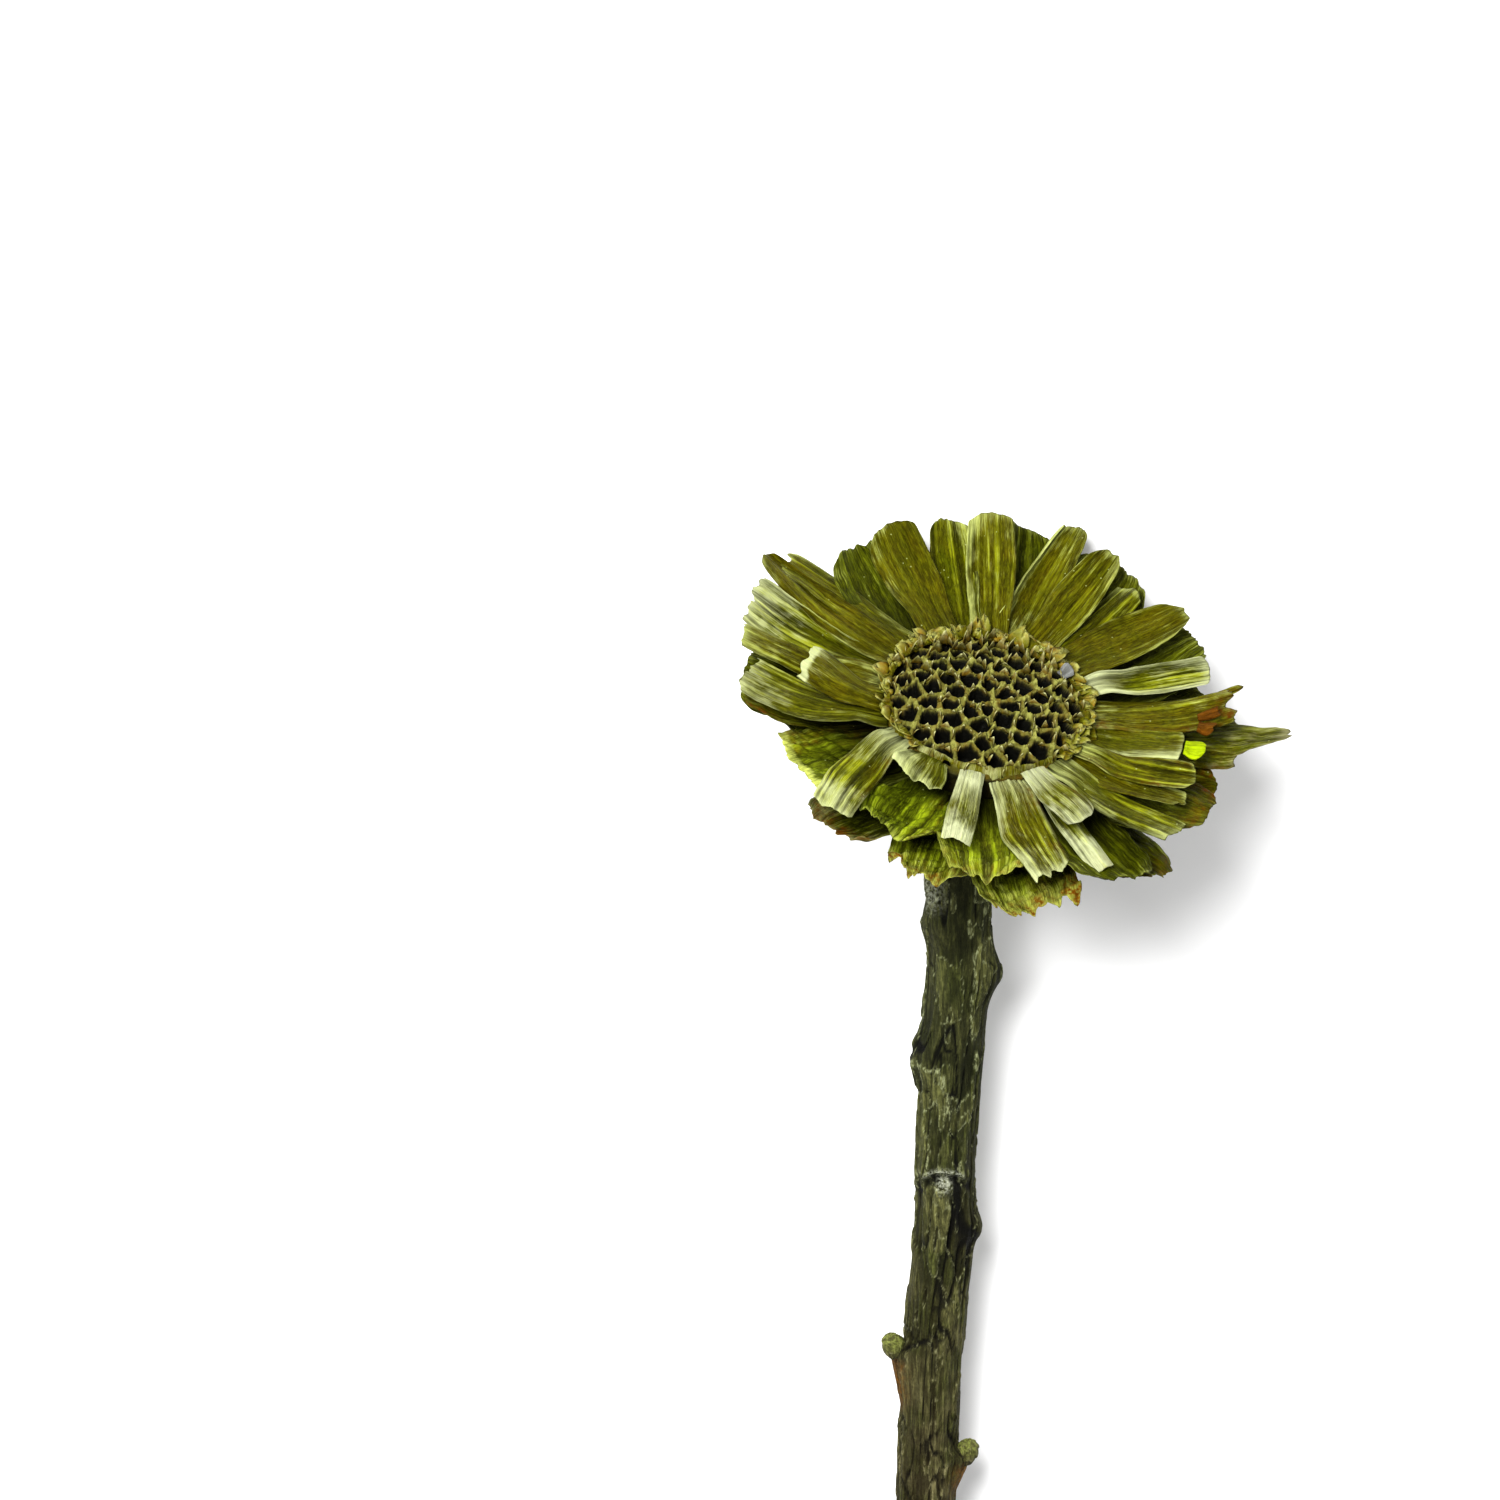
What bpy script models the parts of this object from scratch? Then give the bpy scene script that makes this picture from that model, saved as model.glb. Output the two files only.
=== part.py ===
"""A dried protea rosette on its cut stem, lying on a table.

The flower is modelled as it grew, upright, in metres: +Z up the stem, -Y the side that the head nods to, and the
origin at the centre of the receptacle's face. Every piece hangs on one empty, which then lays the flower down on
the backs of its rear bracts and the heel of its stem, so that the table is the plane z = 0.
"""

import math
from collections import namedtuple

import bmesh
import bpy
import numpy as np
from mathutils import Euler, Matrix, Vector

MM = 0.001
SEED = 11

# ---- the head: its axis points out of the receptacle's face, +Z nodded towards -Y and a little towards +X
HEAD_AXIS = Vector((0.129, -0.502, 0.855)).normalized()
# The receptacle's turned outline from the crown to the neck: distance from the axis, height along it.
RECEPTACLE_PROFILE = [
    (0.0, 2.2), (6.0, 1.9), (11.5, 1.1), (15.0, 0.0), (16.8, -1.0), (16.8, -4.4),
    (15.6, -6.9), (12.7, -10.2), (9.0, -13.8), (6.4, -18.0), (0.0, -18.0),
]
RECEPTACLE_STEPS = 32

# ---- bracts: each is a thin strap that leaves the receptacle's side and spreads outwards
INNER_THICKNESS = 0.7 * MM
OUTER_THICKNESS = 0.8 * MM
ROWS = 7
COLUMNS = 4

# Where each rank of bracts starts: distance from the head's axis, height along it.
RANK_BASES = {
    "top": (17.6, -0.2), "upper": (17.5, -1.9), "lower": (17.3, -3.6),
    "outer": (16.3, -6.3), "back": (13.5, -9.9), "basal": (10.0, -13.9),
}
# How high the tips of a rank stand along the head's axis, and how much higher they stand on the side away from the
# nod than on the average of the rim.
RANK_RIMS = {
    "top": (4.7, 3.2), "upper": (3.0, 3.2), "lower": (1.3, 3.2),
    "outer": (-0.8, 2.8), "back": (-5.4, 2.2), "basal": (-13.8, 0.8),
}

# The inner bracts, anticlockwise: azimuths of the base and of the tip in degrees round the head, reach and width in
# millimetres, the share of its width that the tip keeps, how far the tip stands above its rank's rim, and the rank.
InnerBract = namedtuple("InnerBract", "base tip reach width tip_share lift rank")
INNER_BRACTS = [
    InnerBract(-145, -131, 37.0, 5.8, 0.90, 0.6, "upper"),
    InnerBract(-118, -115, 23.5, 7.2, 0.90, 0.4, "upper"),
    InnerBract(-98, -99, 31.0, 5.3, 0.95, 0.2, "upper"),
    InnerBract(-80, -76, 38.5, 7.0, 0.85, 0.4, "lower"),
    InnerBract(-71, -67, 27.5, 4.6, 0.80, 0.3, "top"),
    InnerBract(-62, -64, 37.5, 4.0, 0.90, 0.2, "lower"),
    InnerBract(-47, -42, 38.2, 6.2, 0.85, 0.0, "upper"),
    InnerBract(-36, -31, 36.0, 5.0, 0.80, 0.0, "lower"),
    InnerBract(-26, -22, 34.5, 5.2, 0.80, 0.2, "upper"),
    InnerBract(-13, -13, 31.5, 4.8, 1.00, 0.0, "lower"),
    InnerBract(3, 0, 40.5, 7.0, 0.55, 0.2, "upper"),
    InnerBract(21, 15, 37.0, 5.4, 0.90, 0.0, "lower"),
    InnerBract(40, 32, 37.8, 6.6, 0.80, 0.2, "upper"),
    InnerBract(50, 48, 35.5, 4.8, 0.90, 0.0, "lower"),
    InnerBract(60, 56, 37.0, 5.2, 0.85, 0.2, "upper"),
    InnerBract(72, 68, 38.5, 6.2, 0.70, 0.0, "lower"),
    InnerBract(85, 86, 37.8, 6.4, 0.95, 0.2, "upper"),
    InnerBract(99, 99, 38.0, 6.0, 0.90, 0.0, "lower"),
    InnerBract(113, 113, 36.8, 6.8, 0.95, 0.2, "upper"),
    InnerBract(127, 139, 41.0, 5.6, 0.80, 0.0, "lower"),
    InnerBract(146, 147, 42.6, 5.6, 0.60, 0.4, "upper"),
    InnerBract(157, 162, 40.5, 6.4, 0.95, 0.0, "lower"),
    InnerBract(167, 170, 40.2, 5.2, 0.90, 0.2, "upper"),
    InnerBract(184, 175, 28.5, 5.8, 0.90, 0.2, "top"),
    InnerBract(194, 181, 39.5, 6.6, 0.90, 0.0, "upper"),
]

# The outer bracts and the back bracts behind them, anticlockwise: azimuth, reach, width and tip share as above.
OuterBract = namedtuple("OuterBract", "azimuth reach width tip_share")
OUTER_BRACTS = [
    OuterBract(-1, 46.0, 12.0, 0.22), OuterBract(29, 39.0, 14.4, 0.55), OuterBract(59, 39.2, 14.6, 0.60),
    OuterBract(88, 40.4, 14.8, 0.55), OuterBract(119, 40.8, 14.6, 0.55), OuterBract(150, 39.8, 14.2, 0.50),
    OuterBract(181, 39.8, 14.0, 0.45), OuterBract(210, 34.6, 13.2, 0.60), OuterBract(240, 32.0, 13.0, 0.60),
    OuterBract(270, 36.4, 14.2, 0.55), OuterBract(303, 40.4, 14.8, 0.60), OuterBract(332, 39.4, 14.0, 0.55),
]
BACK_BRACTS = [
    OuterBract(15, 38.0, 14.0, 0.55), OuterBract(44, 39.6, 14.2, 0.55), OuterBract(75, 39.4, 14.2, 0.55),
    OuterBract(105, 39.6, 14.4, 0.55), OuterBract(136, 39.8, 14.0, 0.55), OuterBract(166, 38.2, 13.8, 0.55),
    OuterBract(195, 35.4, 13.2, 0.55), OuterBract(225, 33.4, 12.8, 0.55), OuterBract(255, 33.8, 13.2, 0.55),
    OuterBract(284, 40.2, 14.4, 0.60), OuterBract(314, 39.4, 14.2, 0.55), OuterBract(345, 38.4, 13.8, 0.55),
]
BASAL_COUNT = 5
BASAL_REACH = 19.0
BASAL_WIDTH = 8.0

# ---- the stem's centreline, in millimetres, from the neck down to the cut; radius in millimetres at each point
STEM_LINE = [
    ((-2.2, 9.4, -16.0), 6.2), ((-2.9, 12.6, -21.5), 5.9), ((-3.3, 15.4, -28.0), 5.5), ((-3.4, 17.2, -36.0), 5.5),
    ((-3.2, 18.4, -46.0), 5.4), ((-4.2, 19.4, -60.0), 5.2), ((-5.1, 20.2, -75.0), 5.0), ((-5.2, 21.4, -90.0), 4.9),
    ((-6.7, 22.8, -106.0), 4.9), ((-7.8, 23.4, -130.0), 4.9), ((-8.4, 24.6, -156.0), 4.8), ((-7.2, 26.4, -184.0), 4.8),
    ((-5.4, 27.4, -212.0), 4.8), ((-6.6, 29.0, -240.0), 4.9), ((-9.4, 30.4, -270.0), 5.0),
]
STEM_SIDES_RESOLUTION = 4
STEM_POINTS = 56
# Swellings where a leaf once joined: drop below the face, side (degrees, 0 is +X and 90 is away from the nod),
# height and half length, all but the side in millimetres.
Knot = namedtuple("Knot", "drop side height half_length")
KNOTS = [
    Knot(39, 190, 0.8, 4.0), Knot(49, 0, 1.7, 4.5), Knot(62, 180, 1.7, 5.5), Knot(80, 262, 1.1, 4.0),
    Knot(90, 352, 1.3, 3.5), Knot(111, 184, 0.7, 7.0), Knot(129, 356, 0.7, 7.0), Knot(148, 220, 1.5, 5.0),
    Knot(171, 40, 1.4, 5.0), Knot(193, 160, 1.6, 6.0), Knot(218, 300, 1.4, 5.0), Knot(241, 100, 1.2, 5.0),
]
# Dormant buds: drop below the face, side, and how far the bud's middle stands off the stem's plain surface.
Bud = namedtuple("Bud", "name drop side stand_off")
BUDS = [Bud("stem_bud_upper", 110.5, 184, 2.25), Bud("stem_bud_lower", 128.0, 356, 2.25)]
BUD_RADII = (1.3 * MM, 1.3 * MM, 1.9 * MM)
BUD_LEAN = 12.0

# ---- lying down: the turn that lays the stem along +Y, and the place of the receptacle's face on the table
LAY_TURN = Euler((math.radians(-89.987), math.radians(-2.367), math.radians(-0.004)))
LAY_PLACE = Vector((-2.97, 122.77, 35.44)) * MM
RESTING_PIECES = ("back_bract_03", "back_bract_04", "stem")


def clear_scene():
    for obj in list(bpy.data.objects):
        bpy.data.objects.remove(obj, do_unlink=True)


def new_collection(name):
    collection = bpy.data.collections.new(name)
    bpy.context.scene.collection.children.link(collection)
    return collection


def material(name, colour, roughness):
    made = bpy.data.materials.new(name)
    made.use_nodes = True
    shader = made.node_tree.nodes["Principled BSDF"]
    shader.inputs["Base Color"].default_value = (*colour, 1.0)
    shader.inputs["Roughness"].default_value = roughness
    shader.inputs["Metallic"].default_value = 0.0
    return made


def add_object(name, data, finish, collection, parent):
    obj = bpy.data.objects.new(name, data)
    data.materials.append(finish)
    collection.objects.link(obj)
    obj.parent = parent
    return obj


def head_frame():
    """The head's own axes as columns: to its right, up its face, and out of its face."""
    right = (Vector((1, 0, 0)) - HEAD_AXIS * HEAD_AXIS.x).normalized()
    return Matrix((right, HEAD_AXIS.cross(right), HEAD_AXIS)).transposed().to_4x4()


def smooth(t):
    return t * t * (3 - 2 * t)


def rim_point(rank, azimuth, reach, lift):
    """Where a bract's tip stands, as distance from the head's axis and height along it, in millimetres."""
    height, nod = RANK_RIMS[rank]
    return reach, height + nod * math.sin(math.radians(azimuth)) + lift


def strap_points(azimuths, base, tip, width, tip_share, ruffle, phase):
    """A grid of points, ROWS + 1 by COLUMNS + 1, on one bract's middle surface, in the head's own axes and metres.

    The centreline runs from base to tip, each (distance, height) in millimetres, sagging a little on the way, while
    its azimuth runs from the first of azimuths to the second. The strap widens from its base to full width, narrows
    to tip_share of it, and its edges wave by ruffle.
    """
    t = np.linspace(0, 1, ROWS + 1)[:, None]
    s = np.linspace(-1, 1, COLUMNS + 1)[None, :]
    distance = base[0] + (tip[0] - base[0]) * t
    sag = 0.05 * (tip[0] - base[0])
    height = base[1] + (tip[1] - base[1]) * t - sag * np.sin(math.pi * t)
    base_width = min(3.9, 0.72 * width) if width < 9 else 0.40 * width
    half = 0.5 * (base_width + (width - base_width) * smooth(np.clip(t / 0.6, 0, 1)))
    half = half * (1 - (1 - tip_share) * smooth(np.clip((t - 0.7) / 0.3, 0, 1)))
    angle = np.radians(azimuths[0] + (azimuths[1] - azimuths[0]) * t)
    across = half * s
    trough = 0.10 * half * (s**2 - 0.4) * np.sin(math.pi * np.clip(t * 0.8, 0, 1))
    wave = ruffle * t * s * np.sin(phase + 5.0 * t)
    x = distance * np.cos(angle) - across * np.sin(angle)
    y = distance * np.sin(angle) + across * np.cos(angle)
    z = height + trough + wave
    return np.stack([x, y, z], axis=-1) * MM


def make_bract(name, points, thickness, finish, collection, parent, place):
    """A grid whose corners are moved to the given points, thickened both ways from its middle surface."""
    bm = bmesh.new()
    bmesh.ops.create_grid(bm, x_segments=COLUMNS, y_segments=ROWS, size=1.0)
    for vertex in bm.verts:
        row = round((vertex.co.y + 1) / 2 * ROWS)
        column = round((vertex.co.x + 1) / 2 * COLUMNS)
        vertex.co = points[row, column]
    bmesh.ops.recalc_face_normals(bm, faces=bm.faces)
    mesh = bpy.data.meshes.new(name)
    bm.to_mesh(mesh)
    bm.free()
    mesh.shade_smooth()
    obj = add_object(name, mesh, finish, collection, parent)
    obj.matrix_local = place
    shell = obj.modifiers.new("thickness", "SOLIDIFY")
    shell.thickness = thickness
    shell.offset = 0.0
    return obj


def make_receptacle(finish, collection, parent, place):
    """The woody cone that carries the bracts: its outline is turned round the head's axis."""
    mesh = bpy.data.meshes.new("receptacle")
    outline = [(distance * MM, 0.0, height * MM) for distance, height in RECEPTACLE_PROFILE]
    mesh.from_pydata(outline, [(i, i + 1) for i in range(len(outline) - 1)], [])
    obj = add_object("receptacle", mesh, finish, collection, parent)
    obj.matrix_local = place
    turned = obj.modifiers.new("turned", "SCREW")
    turned.steps = turned.render_steps = RECEPTACLE_STEPS
    turned.use_merge_vertices = True
    turned.merge_threshold = 0.0001
    turned.use_smooth_shade = True
    return obj


def smooth_line(points, count):
    """Catmull-Rom points through the given ones, evenly spread by number: an array of count rows."""
    given = np.array(points, float)
    padded = np.vstack([2 * given[0] - given[1], given, 2 * given[-1] - given[-2]])
    where = np.linspace(0, len(given) - 1, count)
    index = np.minimum(where.astype(int), len(given) - 2)
    t = (where - index)[:, None]
    a, b, c, d = (padded[index + k] for k in range(4))
    return 0.5 * (2 * b + (c - a) * t + (2 * a - 5 * b + 4 * c - d) * t**2 + (3 * b - a - 3 * c + d) * t**3)


def stem_centre(drop):
    """The stem's centreline point, and its radius, at a drop in millimetres below the receptacle's face."""
    line = smooth_line([(*point, radius) for point, radius in STEM_LINE], 400)
    found = line[np.argmin(np.abs(line[:, 2] + drop))]
    return found[:3], found[3]


def side_direction(side):
    return np.array((math.cos(math.radians(side)), math.sin(math.radians(side)), 0.0))


def make_stem(finish, collection, parent):
    """A round rod along the stem's line, then swollen outwards round each knot."""
    line = smooth_line([(*point, radius) for point, radius in STEM_LINE], STEM_POINTS)
    curve = bpy.data.curves.new("stem_line", "CURVE")
    curve.dimensions = "3D"
    curve.bevel_depth = MM
    curve.bevel_resolution = STEM_SIDES_RESOLUTION
    curve.use_fill_caps = True
    spline = curve.splines.new("POLY")
    spline.points.add(len(line) - 1)
    for point, (x, y, z, radius) in zip(spline.points, line):
        point.co = (x * MM, y * MM, z * MM, 1.0)
        point.radius = radius
    rod = bpy.data.objects.new("stem_rod", curve)
    collection.objects.link(rod)
    bpy.context.view_layer.update()
    mesh = bpy.data.meshes.new_from_object(rod.evaluated_get(bpy.context.evaluated_depsgraph_get()))
    bpy.data.objects.remove(rod)
    bm = bmesh.new()
    bm.from_mesh(mesh)
    bmesh.ops.remove_doubles(bm, verts=bm.verts, dist=0.00001)
    for vertex in bm.verts:
        out = np.zeros(3)
        for knot in KNOTS:
            centre, radius = stem_centre(knot.drop)
            side = side_direction(knot.side)
            along = (vertex.co.z / MM + knot.drop) / knot.half_length
            facing = float(np.dot((np.array(vertex.co) / MM - centre)[:2], side[:2])) / radius
            out += side * knot.height * math.exp(-2 * along**2) * max(facing, 0.0) ** 2
        vertex.co += Vector(out) * MM
    bmesh.ops.recalc_face_normals(bm, faces=bm.faces)
    bm.to_mesh(mesh)
    bm.free()
    mesh.shade_smooth()
    mesh.materials.clear()
    return add_object("stem", mesh, finish, collection, parent)


def make_bud(bud, finish, collection, parent):
    """A dormant bud: an egg that stands just off the stem's bark and points up the stem."""
    bm = bmesh.new()
    bmesh.ops.create_uvsphere(bm, u_segments=12, v_segments=8, radius=1.0)
    bmesh.ops.scale(bm, vec=BUD_RADII, verts=bm.verts)
    mesh = bpy.data.meshes.new(bud.name)
    bm.to_mesh(mesh)
    bm.free()
    mesh.shade_smooth()
    obj = add_object(bud.name, mesh, finish, collection, parent)
    centre, radius = stem_centre(bud.drop)
    side = side_direction(bud.side)
    obj.location = Vector((centre + side * (radius + bud.stand_off)) * MM)
    obj.rotation_euler = Euler((0.0, math.radians(BUD_LEAN) * side[0], 0.0))
    return obj


def make_bracts(finishes, collection, parent, place):
    random = np.random.default_rng(SEED)
    for i, bract in enumerate(INNER_BRACTS):
        tip = rim_point(bract.rank, bract.tip, bract.reach, bract.lift)
        azimuths = (bract.base, bract.tip)
        points = strap_points(azimuths, RANK_BASES[bract.rank], tip, bract.width, bract.tip_share, 0.0, 0.0)
        name = f"inner_bract_{i + 1:02d}"
        make_bract(name, points, INNER_THICKNESS, finishes["inner_bract"], collection, parent, place)
    for rank, bracts in (("outer", OUTER_BRACTS), ("back", BACK_BRACTS)):
        for i, bract in enumerate(bracts):
            tip = rim_point(rank, bract.azimuth, bract.reach, random.uniform(-0.4, 0.4))
            azimuths = (bract.azimuth, bract.azimuth)
            phase = random.uniform(0, 2 * math.pi)
            points = strap_points(azimuths, RANK_BASES[rank], tip, bract.width, bract.tip_share, 0.7, phase)
            name = f"{rank}_bract_{i + 1:02d}"
            make_bract(name, points, OUTER_THICKNESS, finishes["outer_bract"], collection, parent, place)
    for i in range(BASAL_COUNT):
        azimuth = 360.0 / BASAL_COUNT * i + random.uniform(-4, 4)
        tip = rim_point("basal", azimuth, BASAL_REACH + random.uniform(-1.5, 1.5), 0.0)
        points = strap_points((azimuth, azimuth), RANK_BASES["basal"], tip, BASAL_WIDTH, 0.35, 0.2, i)
        name = f"basal_scale_{i + 1:02d}"
        make_bract(name, points, OUTER_THICKNESS, finishes["basal_scale"], collection, parent, place)


def press_flat(names, cutters):
    """The pieces that carry the flower are worn flat where they meet the table."""
    bpy.ops.mesh.primitive_cube_add(size=1.0, location=(0.0, 0.0, -0.05))
    table = bpy.context.object
    table.name = "table_cutter"
    table.scale = (1.0, 1.0, 0.1)
    for owner in list(table.users_collection):
        owner.objects.unlink(table)
    cutters.objects.link(table)
    table.hide_render = True
    table.display_type = "WIRE"
    for name in names:
        cut = bpy.data.objects[name].modifiers.new("table", "BOOLEAN")
        cut.operation = "DIFFERENCE"
        cut.object = table


def build():
    clear_scene()
    collection = new_collection("dried_protea_stem")
    cutters = new_collection("cutters")
    finishes = {
        "stem": material("stem_bark", (0.06, 0.062, 0.03), 0.85),
        "stem_bud": material("stem_bud", (0.13, 0.12, 0.035), 0.8),
        "receptacle": material("receptacle", (0.10, 0.085, 0.03), 0.8),
        "inner_bract": material("inner_bract", (0.17, 0.18, 0.02), 0.5),
        "outer_bract": material("outer_bract", (0.11, 0.14, 0.015), 0.6),
        "basal_scale": material("basal_scale", (0.12, 0.10, 0.03), 0.7),
    }
    lying = bpy.data.objects.new("lying_flower", None)
    collection.objects.link(lying)
    place = head_frame()
    make_stem(finishes["stem"], collection, lying)
    for bud in BUDS:
        make_bud(bud, finishes["stem_bud"], collection, lying)
    make_receptacle(finishes["receptacle"], collection, lying, place)
    make_bracts(finishes, collection, lying, place)
    lying.rotation_euler = LAY_TURN
    lying.location = LAY_PLACE
    bpy.context.view_layer.update()
    press_flat(RESTING_PIECES, cutters)


build()
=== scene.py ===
# %% [markdown]
# # A dried protea rosette on its stem
# A protea head that has been cut open flat, dried and dyed green. It lies on a table: a honeycombed disc in the
# middle, two ranks of narrow ribbed bracts round it, two ranks of wide ruffled ones behind, and a woody stem.
# Every shape here is a surface worked out with numpy, because a leaf, a bark ridge or a seed socket is easier to say
# as a formula of two numbers than to push into place by hand.

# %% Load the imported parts
import math
from functools import partial
from types import SimpleNamespace

import bpy
import numpy as np
from mathutils import Euler, Matrix, Vector


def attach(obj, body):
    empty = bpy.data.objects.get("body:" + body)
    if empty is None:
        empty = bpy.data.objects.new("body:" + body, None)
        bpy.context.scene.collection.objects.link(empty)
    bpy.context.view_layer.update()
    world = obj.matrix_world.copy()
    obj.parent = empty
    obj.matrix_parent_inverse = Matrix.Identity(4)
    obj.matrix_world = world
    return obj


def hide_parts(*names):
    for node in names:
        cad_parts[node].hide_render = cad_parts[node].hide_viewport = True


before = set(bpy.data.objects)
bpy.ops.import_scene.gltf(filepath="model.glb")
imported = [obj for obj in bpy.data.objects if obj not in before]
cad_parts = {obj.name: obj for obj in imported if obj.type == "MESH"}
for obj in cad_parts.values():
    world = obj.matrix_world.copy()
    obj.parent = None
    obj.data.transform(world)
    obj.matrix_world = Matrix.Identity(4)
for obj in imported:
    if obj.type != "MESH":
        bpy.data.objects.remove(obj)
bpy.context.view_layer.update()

# %% [markdown]
# ## Two sets of axes
# A flower is easiest to think about as it grew: the stem points up and the head nods forward. So each piece is
# worked out in millimetres round the head's own axis, as distance, angle and height, like a clock face. One last
# step turns the whole flower onto its back and sets it on the table, in metres.

# %% The head's axes, and laying the flower down
def unit(vectors):
    """Vectors divided by their own length."""
    return vectors / np.maximum(np.linalg.norm(vectors, axis=-1, keepdims=True), 1e-9)


MILLIMETRE = 0.001
TABLE_GAP = 0.02  # mm, so that nothing lies in the table's own plane
HEAD_AXIS = unit(np.array((0.129, -0.502, 0.855)))
HEAD_RIGHT = unit(np.array((1.0, 0.0, 0.0)) - HEAD_AXIS * HEAD_AXIS[0])
HEAD_UP = np.cross(HEAD_AXIS, HEAD_RIGHT)
LAY_TURN = np.array(Euler([math.radians(a) for a in (-89.987, -2.367, -0.004)]).to_matrix())
LAY_PLACE = np.array((-2.97, 122.77, 35.44))


def head_point(distance, angle, height):
    """Distance from the head's axis, angle round it and height along it, in mm, as a point of the upright flower."""
    x, y = distance * np.cos(angle), distance * np.sin(angle)
    return x[..., None] * HEAD_RIGHT + y[..., None] * HEAD_UP + height[..., None] * HEAD_AXIS


def on_table(points):
    """Upright millimetres to metres on the table: turned, shifted, and pressed flat where they meet the table."""
    placed = (points @ LAY_TURN.T + LAY_PLACE) * MILLIMETRE
    placed[..., 2] = np.maximum(placed[..., 2], TABLE_GAP * MILLIMETRE)
    return placed


print("disc centre on the table, mm:", (1000 * on_table(np.zeros((1, 3)))).round(1))

# %% [markdown]
# ## Noise worked out with arrays
# Nothing on a plant is even. The unevenness comes from value noise: a fixed random height at every whole-number
# point, blended smoothly in between. Adding finer and finer copies gives the broken look of bark and dry tissue. The
# seed in each call is any whole number, and only picks another pattern.

# %% Smooth noise
def step(a, b, x):
    """0 below a, 1 above b, and a smooth S-curve 3t^2 - 2t^3 in between."""
    t = np.clip((x - a) / (b - a), 0, 1)
    return t * t * (3 - 2 * t)


def lattice(i, j, seed):
    """A repeatable random number from -1 to 1 at each whole-number point: the fraction of a large sine."""
    mixed = np.sin(i * 127.1 + j * 311.7 + seed * 74.7) * 43758.5453
    return 2 * (mixed - np.floor(mixed)) - 1


def noise(x, y, seed, wrap=0):
    """Value noise from -1 to 1. With wrap, x repeats after that many cells, for a pattern round a stem."""
    i, j = np.floor(x), np.floor(y)
    u, v = step(0, 1, x - i), step(0, 1, y - j)
    i0, i1 = (np.mod(i, wrap), np.mod(i + 1, wrap)) if wrap else (i, i + 1)
    low = lattice(i0, j, seed) * (1 - u) + lattice(i1, j, seed) * u
    high = lattice(i0, j + 1, seed) * (1 - u) + lattice(i1, j + 1, seed) * u
    return low * (1 - v) + high * v


def rough(x, y, seed, layers=4, wrap=0):
    """Layers of value noise, each twice as fine and half as strong as the one before."""
    total = sum(noise(x * 2**k, y * 2**k, seed + 9 * k, wrap * 2**k) / 2**k for k in range(layers))
    return total / sum(0.5**k for k in range(layers))


def ring(turns, count, along, seed, layers=1, drift=0):
    """Noise round an axis: count cells fill one full turn, so the pattern meets itself again."""
    return rough(turns * count + drift, along, seed, layers, count)


print("noise runs from", noise(np.arange(0, 9, 0.1), np.arange(0, 9, 0.1), 1).min().round(2))

# %% [markdown]
# ## From a grid of points to a closed piece
# A bract is a thin sheet. Its middle surface is a grid of points, and the real sheet is that grid pushed half its
# thickness to each side. The two sides share the points of the rim, so the piece is closed with no seam to weld.

# %% Turning grids into meshes
def grid_normals(points):
    """The unit normal at each grid point: the cross product of the steps along the rows and the columns."""
    along = np.gradient(points, axis=0)
    across = np.gradient(points, axis=1)
    return unit(np.cross(along, across))


def quads_of(ids):
    """The four-cornered faces of a grid of point numbers."""
    return np.stack([ids[:-1, :-1], ids[1:, :-1], ids[1:, 1:], ids[:-1, 1:]], axis=-1).reshape(-1, 4)


def sheet_faces(rows, columns):
    """The faces of a closed sheet: the top grid, and a bottom grid that shares the points of the top's rim."""
    top = np.arange(rows * columns).reshape(rows, columns)
    bottom = top.copy()
    bottom[1:-1, 1:-1] = rows * columns + np.arange((rows - 2) * (columns - 2)).reshape(rows - 2, columns - 2)
    return np.concatenate([quads_of(top), quads_of(bottom)[:, ::-1]])


def two_sided(middle, thickness, masks):
    """A closed sheet: a grid's points pushed out by half the thickness on each side, sharing the rim's points."""
    push = grid_normals(middle) * (thickness / 2)[..., None]
    push[0], push[-1], push[:, 0], push[:, -1] = 0, 0, 0, 0
    inside = (slice(1, -1), slice(1, -1))
    points = np.concatenate([(middle + push).reshape(-1, 3), (middle - push)[inside].reshape(-1, 3)])
    full = {name: np.broadcast_to(mask, middle.shape[:2]) for name, mask in masks.items()}
    both = {name: np.concatenate([mask.ravel(), mask[inside].ravel()]) for name, mask in full.items()}
    return points, sheet_faces(*middle.shape[:2]), both


def make_piece(name, points, faces, masks, finish, slot, nodes=()):
    """A smooth mesh object on the table, with each mask as a point attribute, riding on the flower's one body."""
    mesh = bpy.data.meshes.new(name)
    mesh.from_pydata(on_table(points).tolist(), [], faces if isinstance(faces, list) else faces.tolist())
    for mask, values in masks.items():
        mesh.attributes.new(mask, "FLOAT", "POINT").data.foreach_set("value", values.astype(np.float32))
    mesh.shade_smooth()
    mesh.materials.append(finish)
    piece = bpy.data.objects.new(name, mesh)
    bpy.context.scene.collection.objects.link(piece)
    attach(piece, "root")
    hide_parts(*nodes)
    return piece


# %% [markdown]
# ## Finishes from node groups
# The same few effects show on every piece: streaks that run along the tissue, soft blotches, and pale specks of
# dust. Each is a node group, built once, with named inputs, so every material can use it with its own values.

# %% Small helpers for shader nodes
def feed(node, values):
    """Each input named in values set to its value, or joined to another node's output."""
    for key, value in values.items():
        if isinstance(value, bpy.types.NodeSocket):
            node.id_data.links.new(value, node.inputs[key])
        else:
            node.inputs[key].default_value = value
    return node


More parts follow.
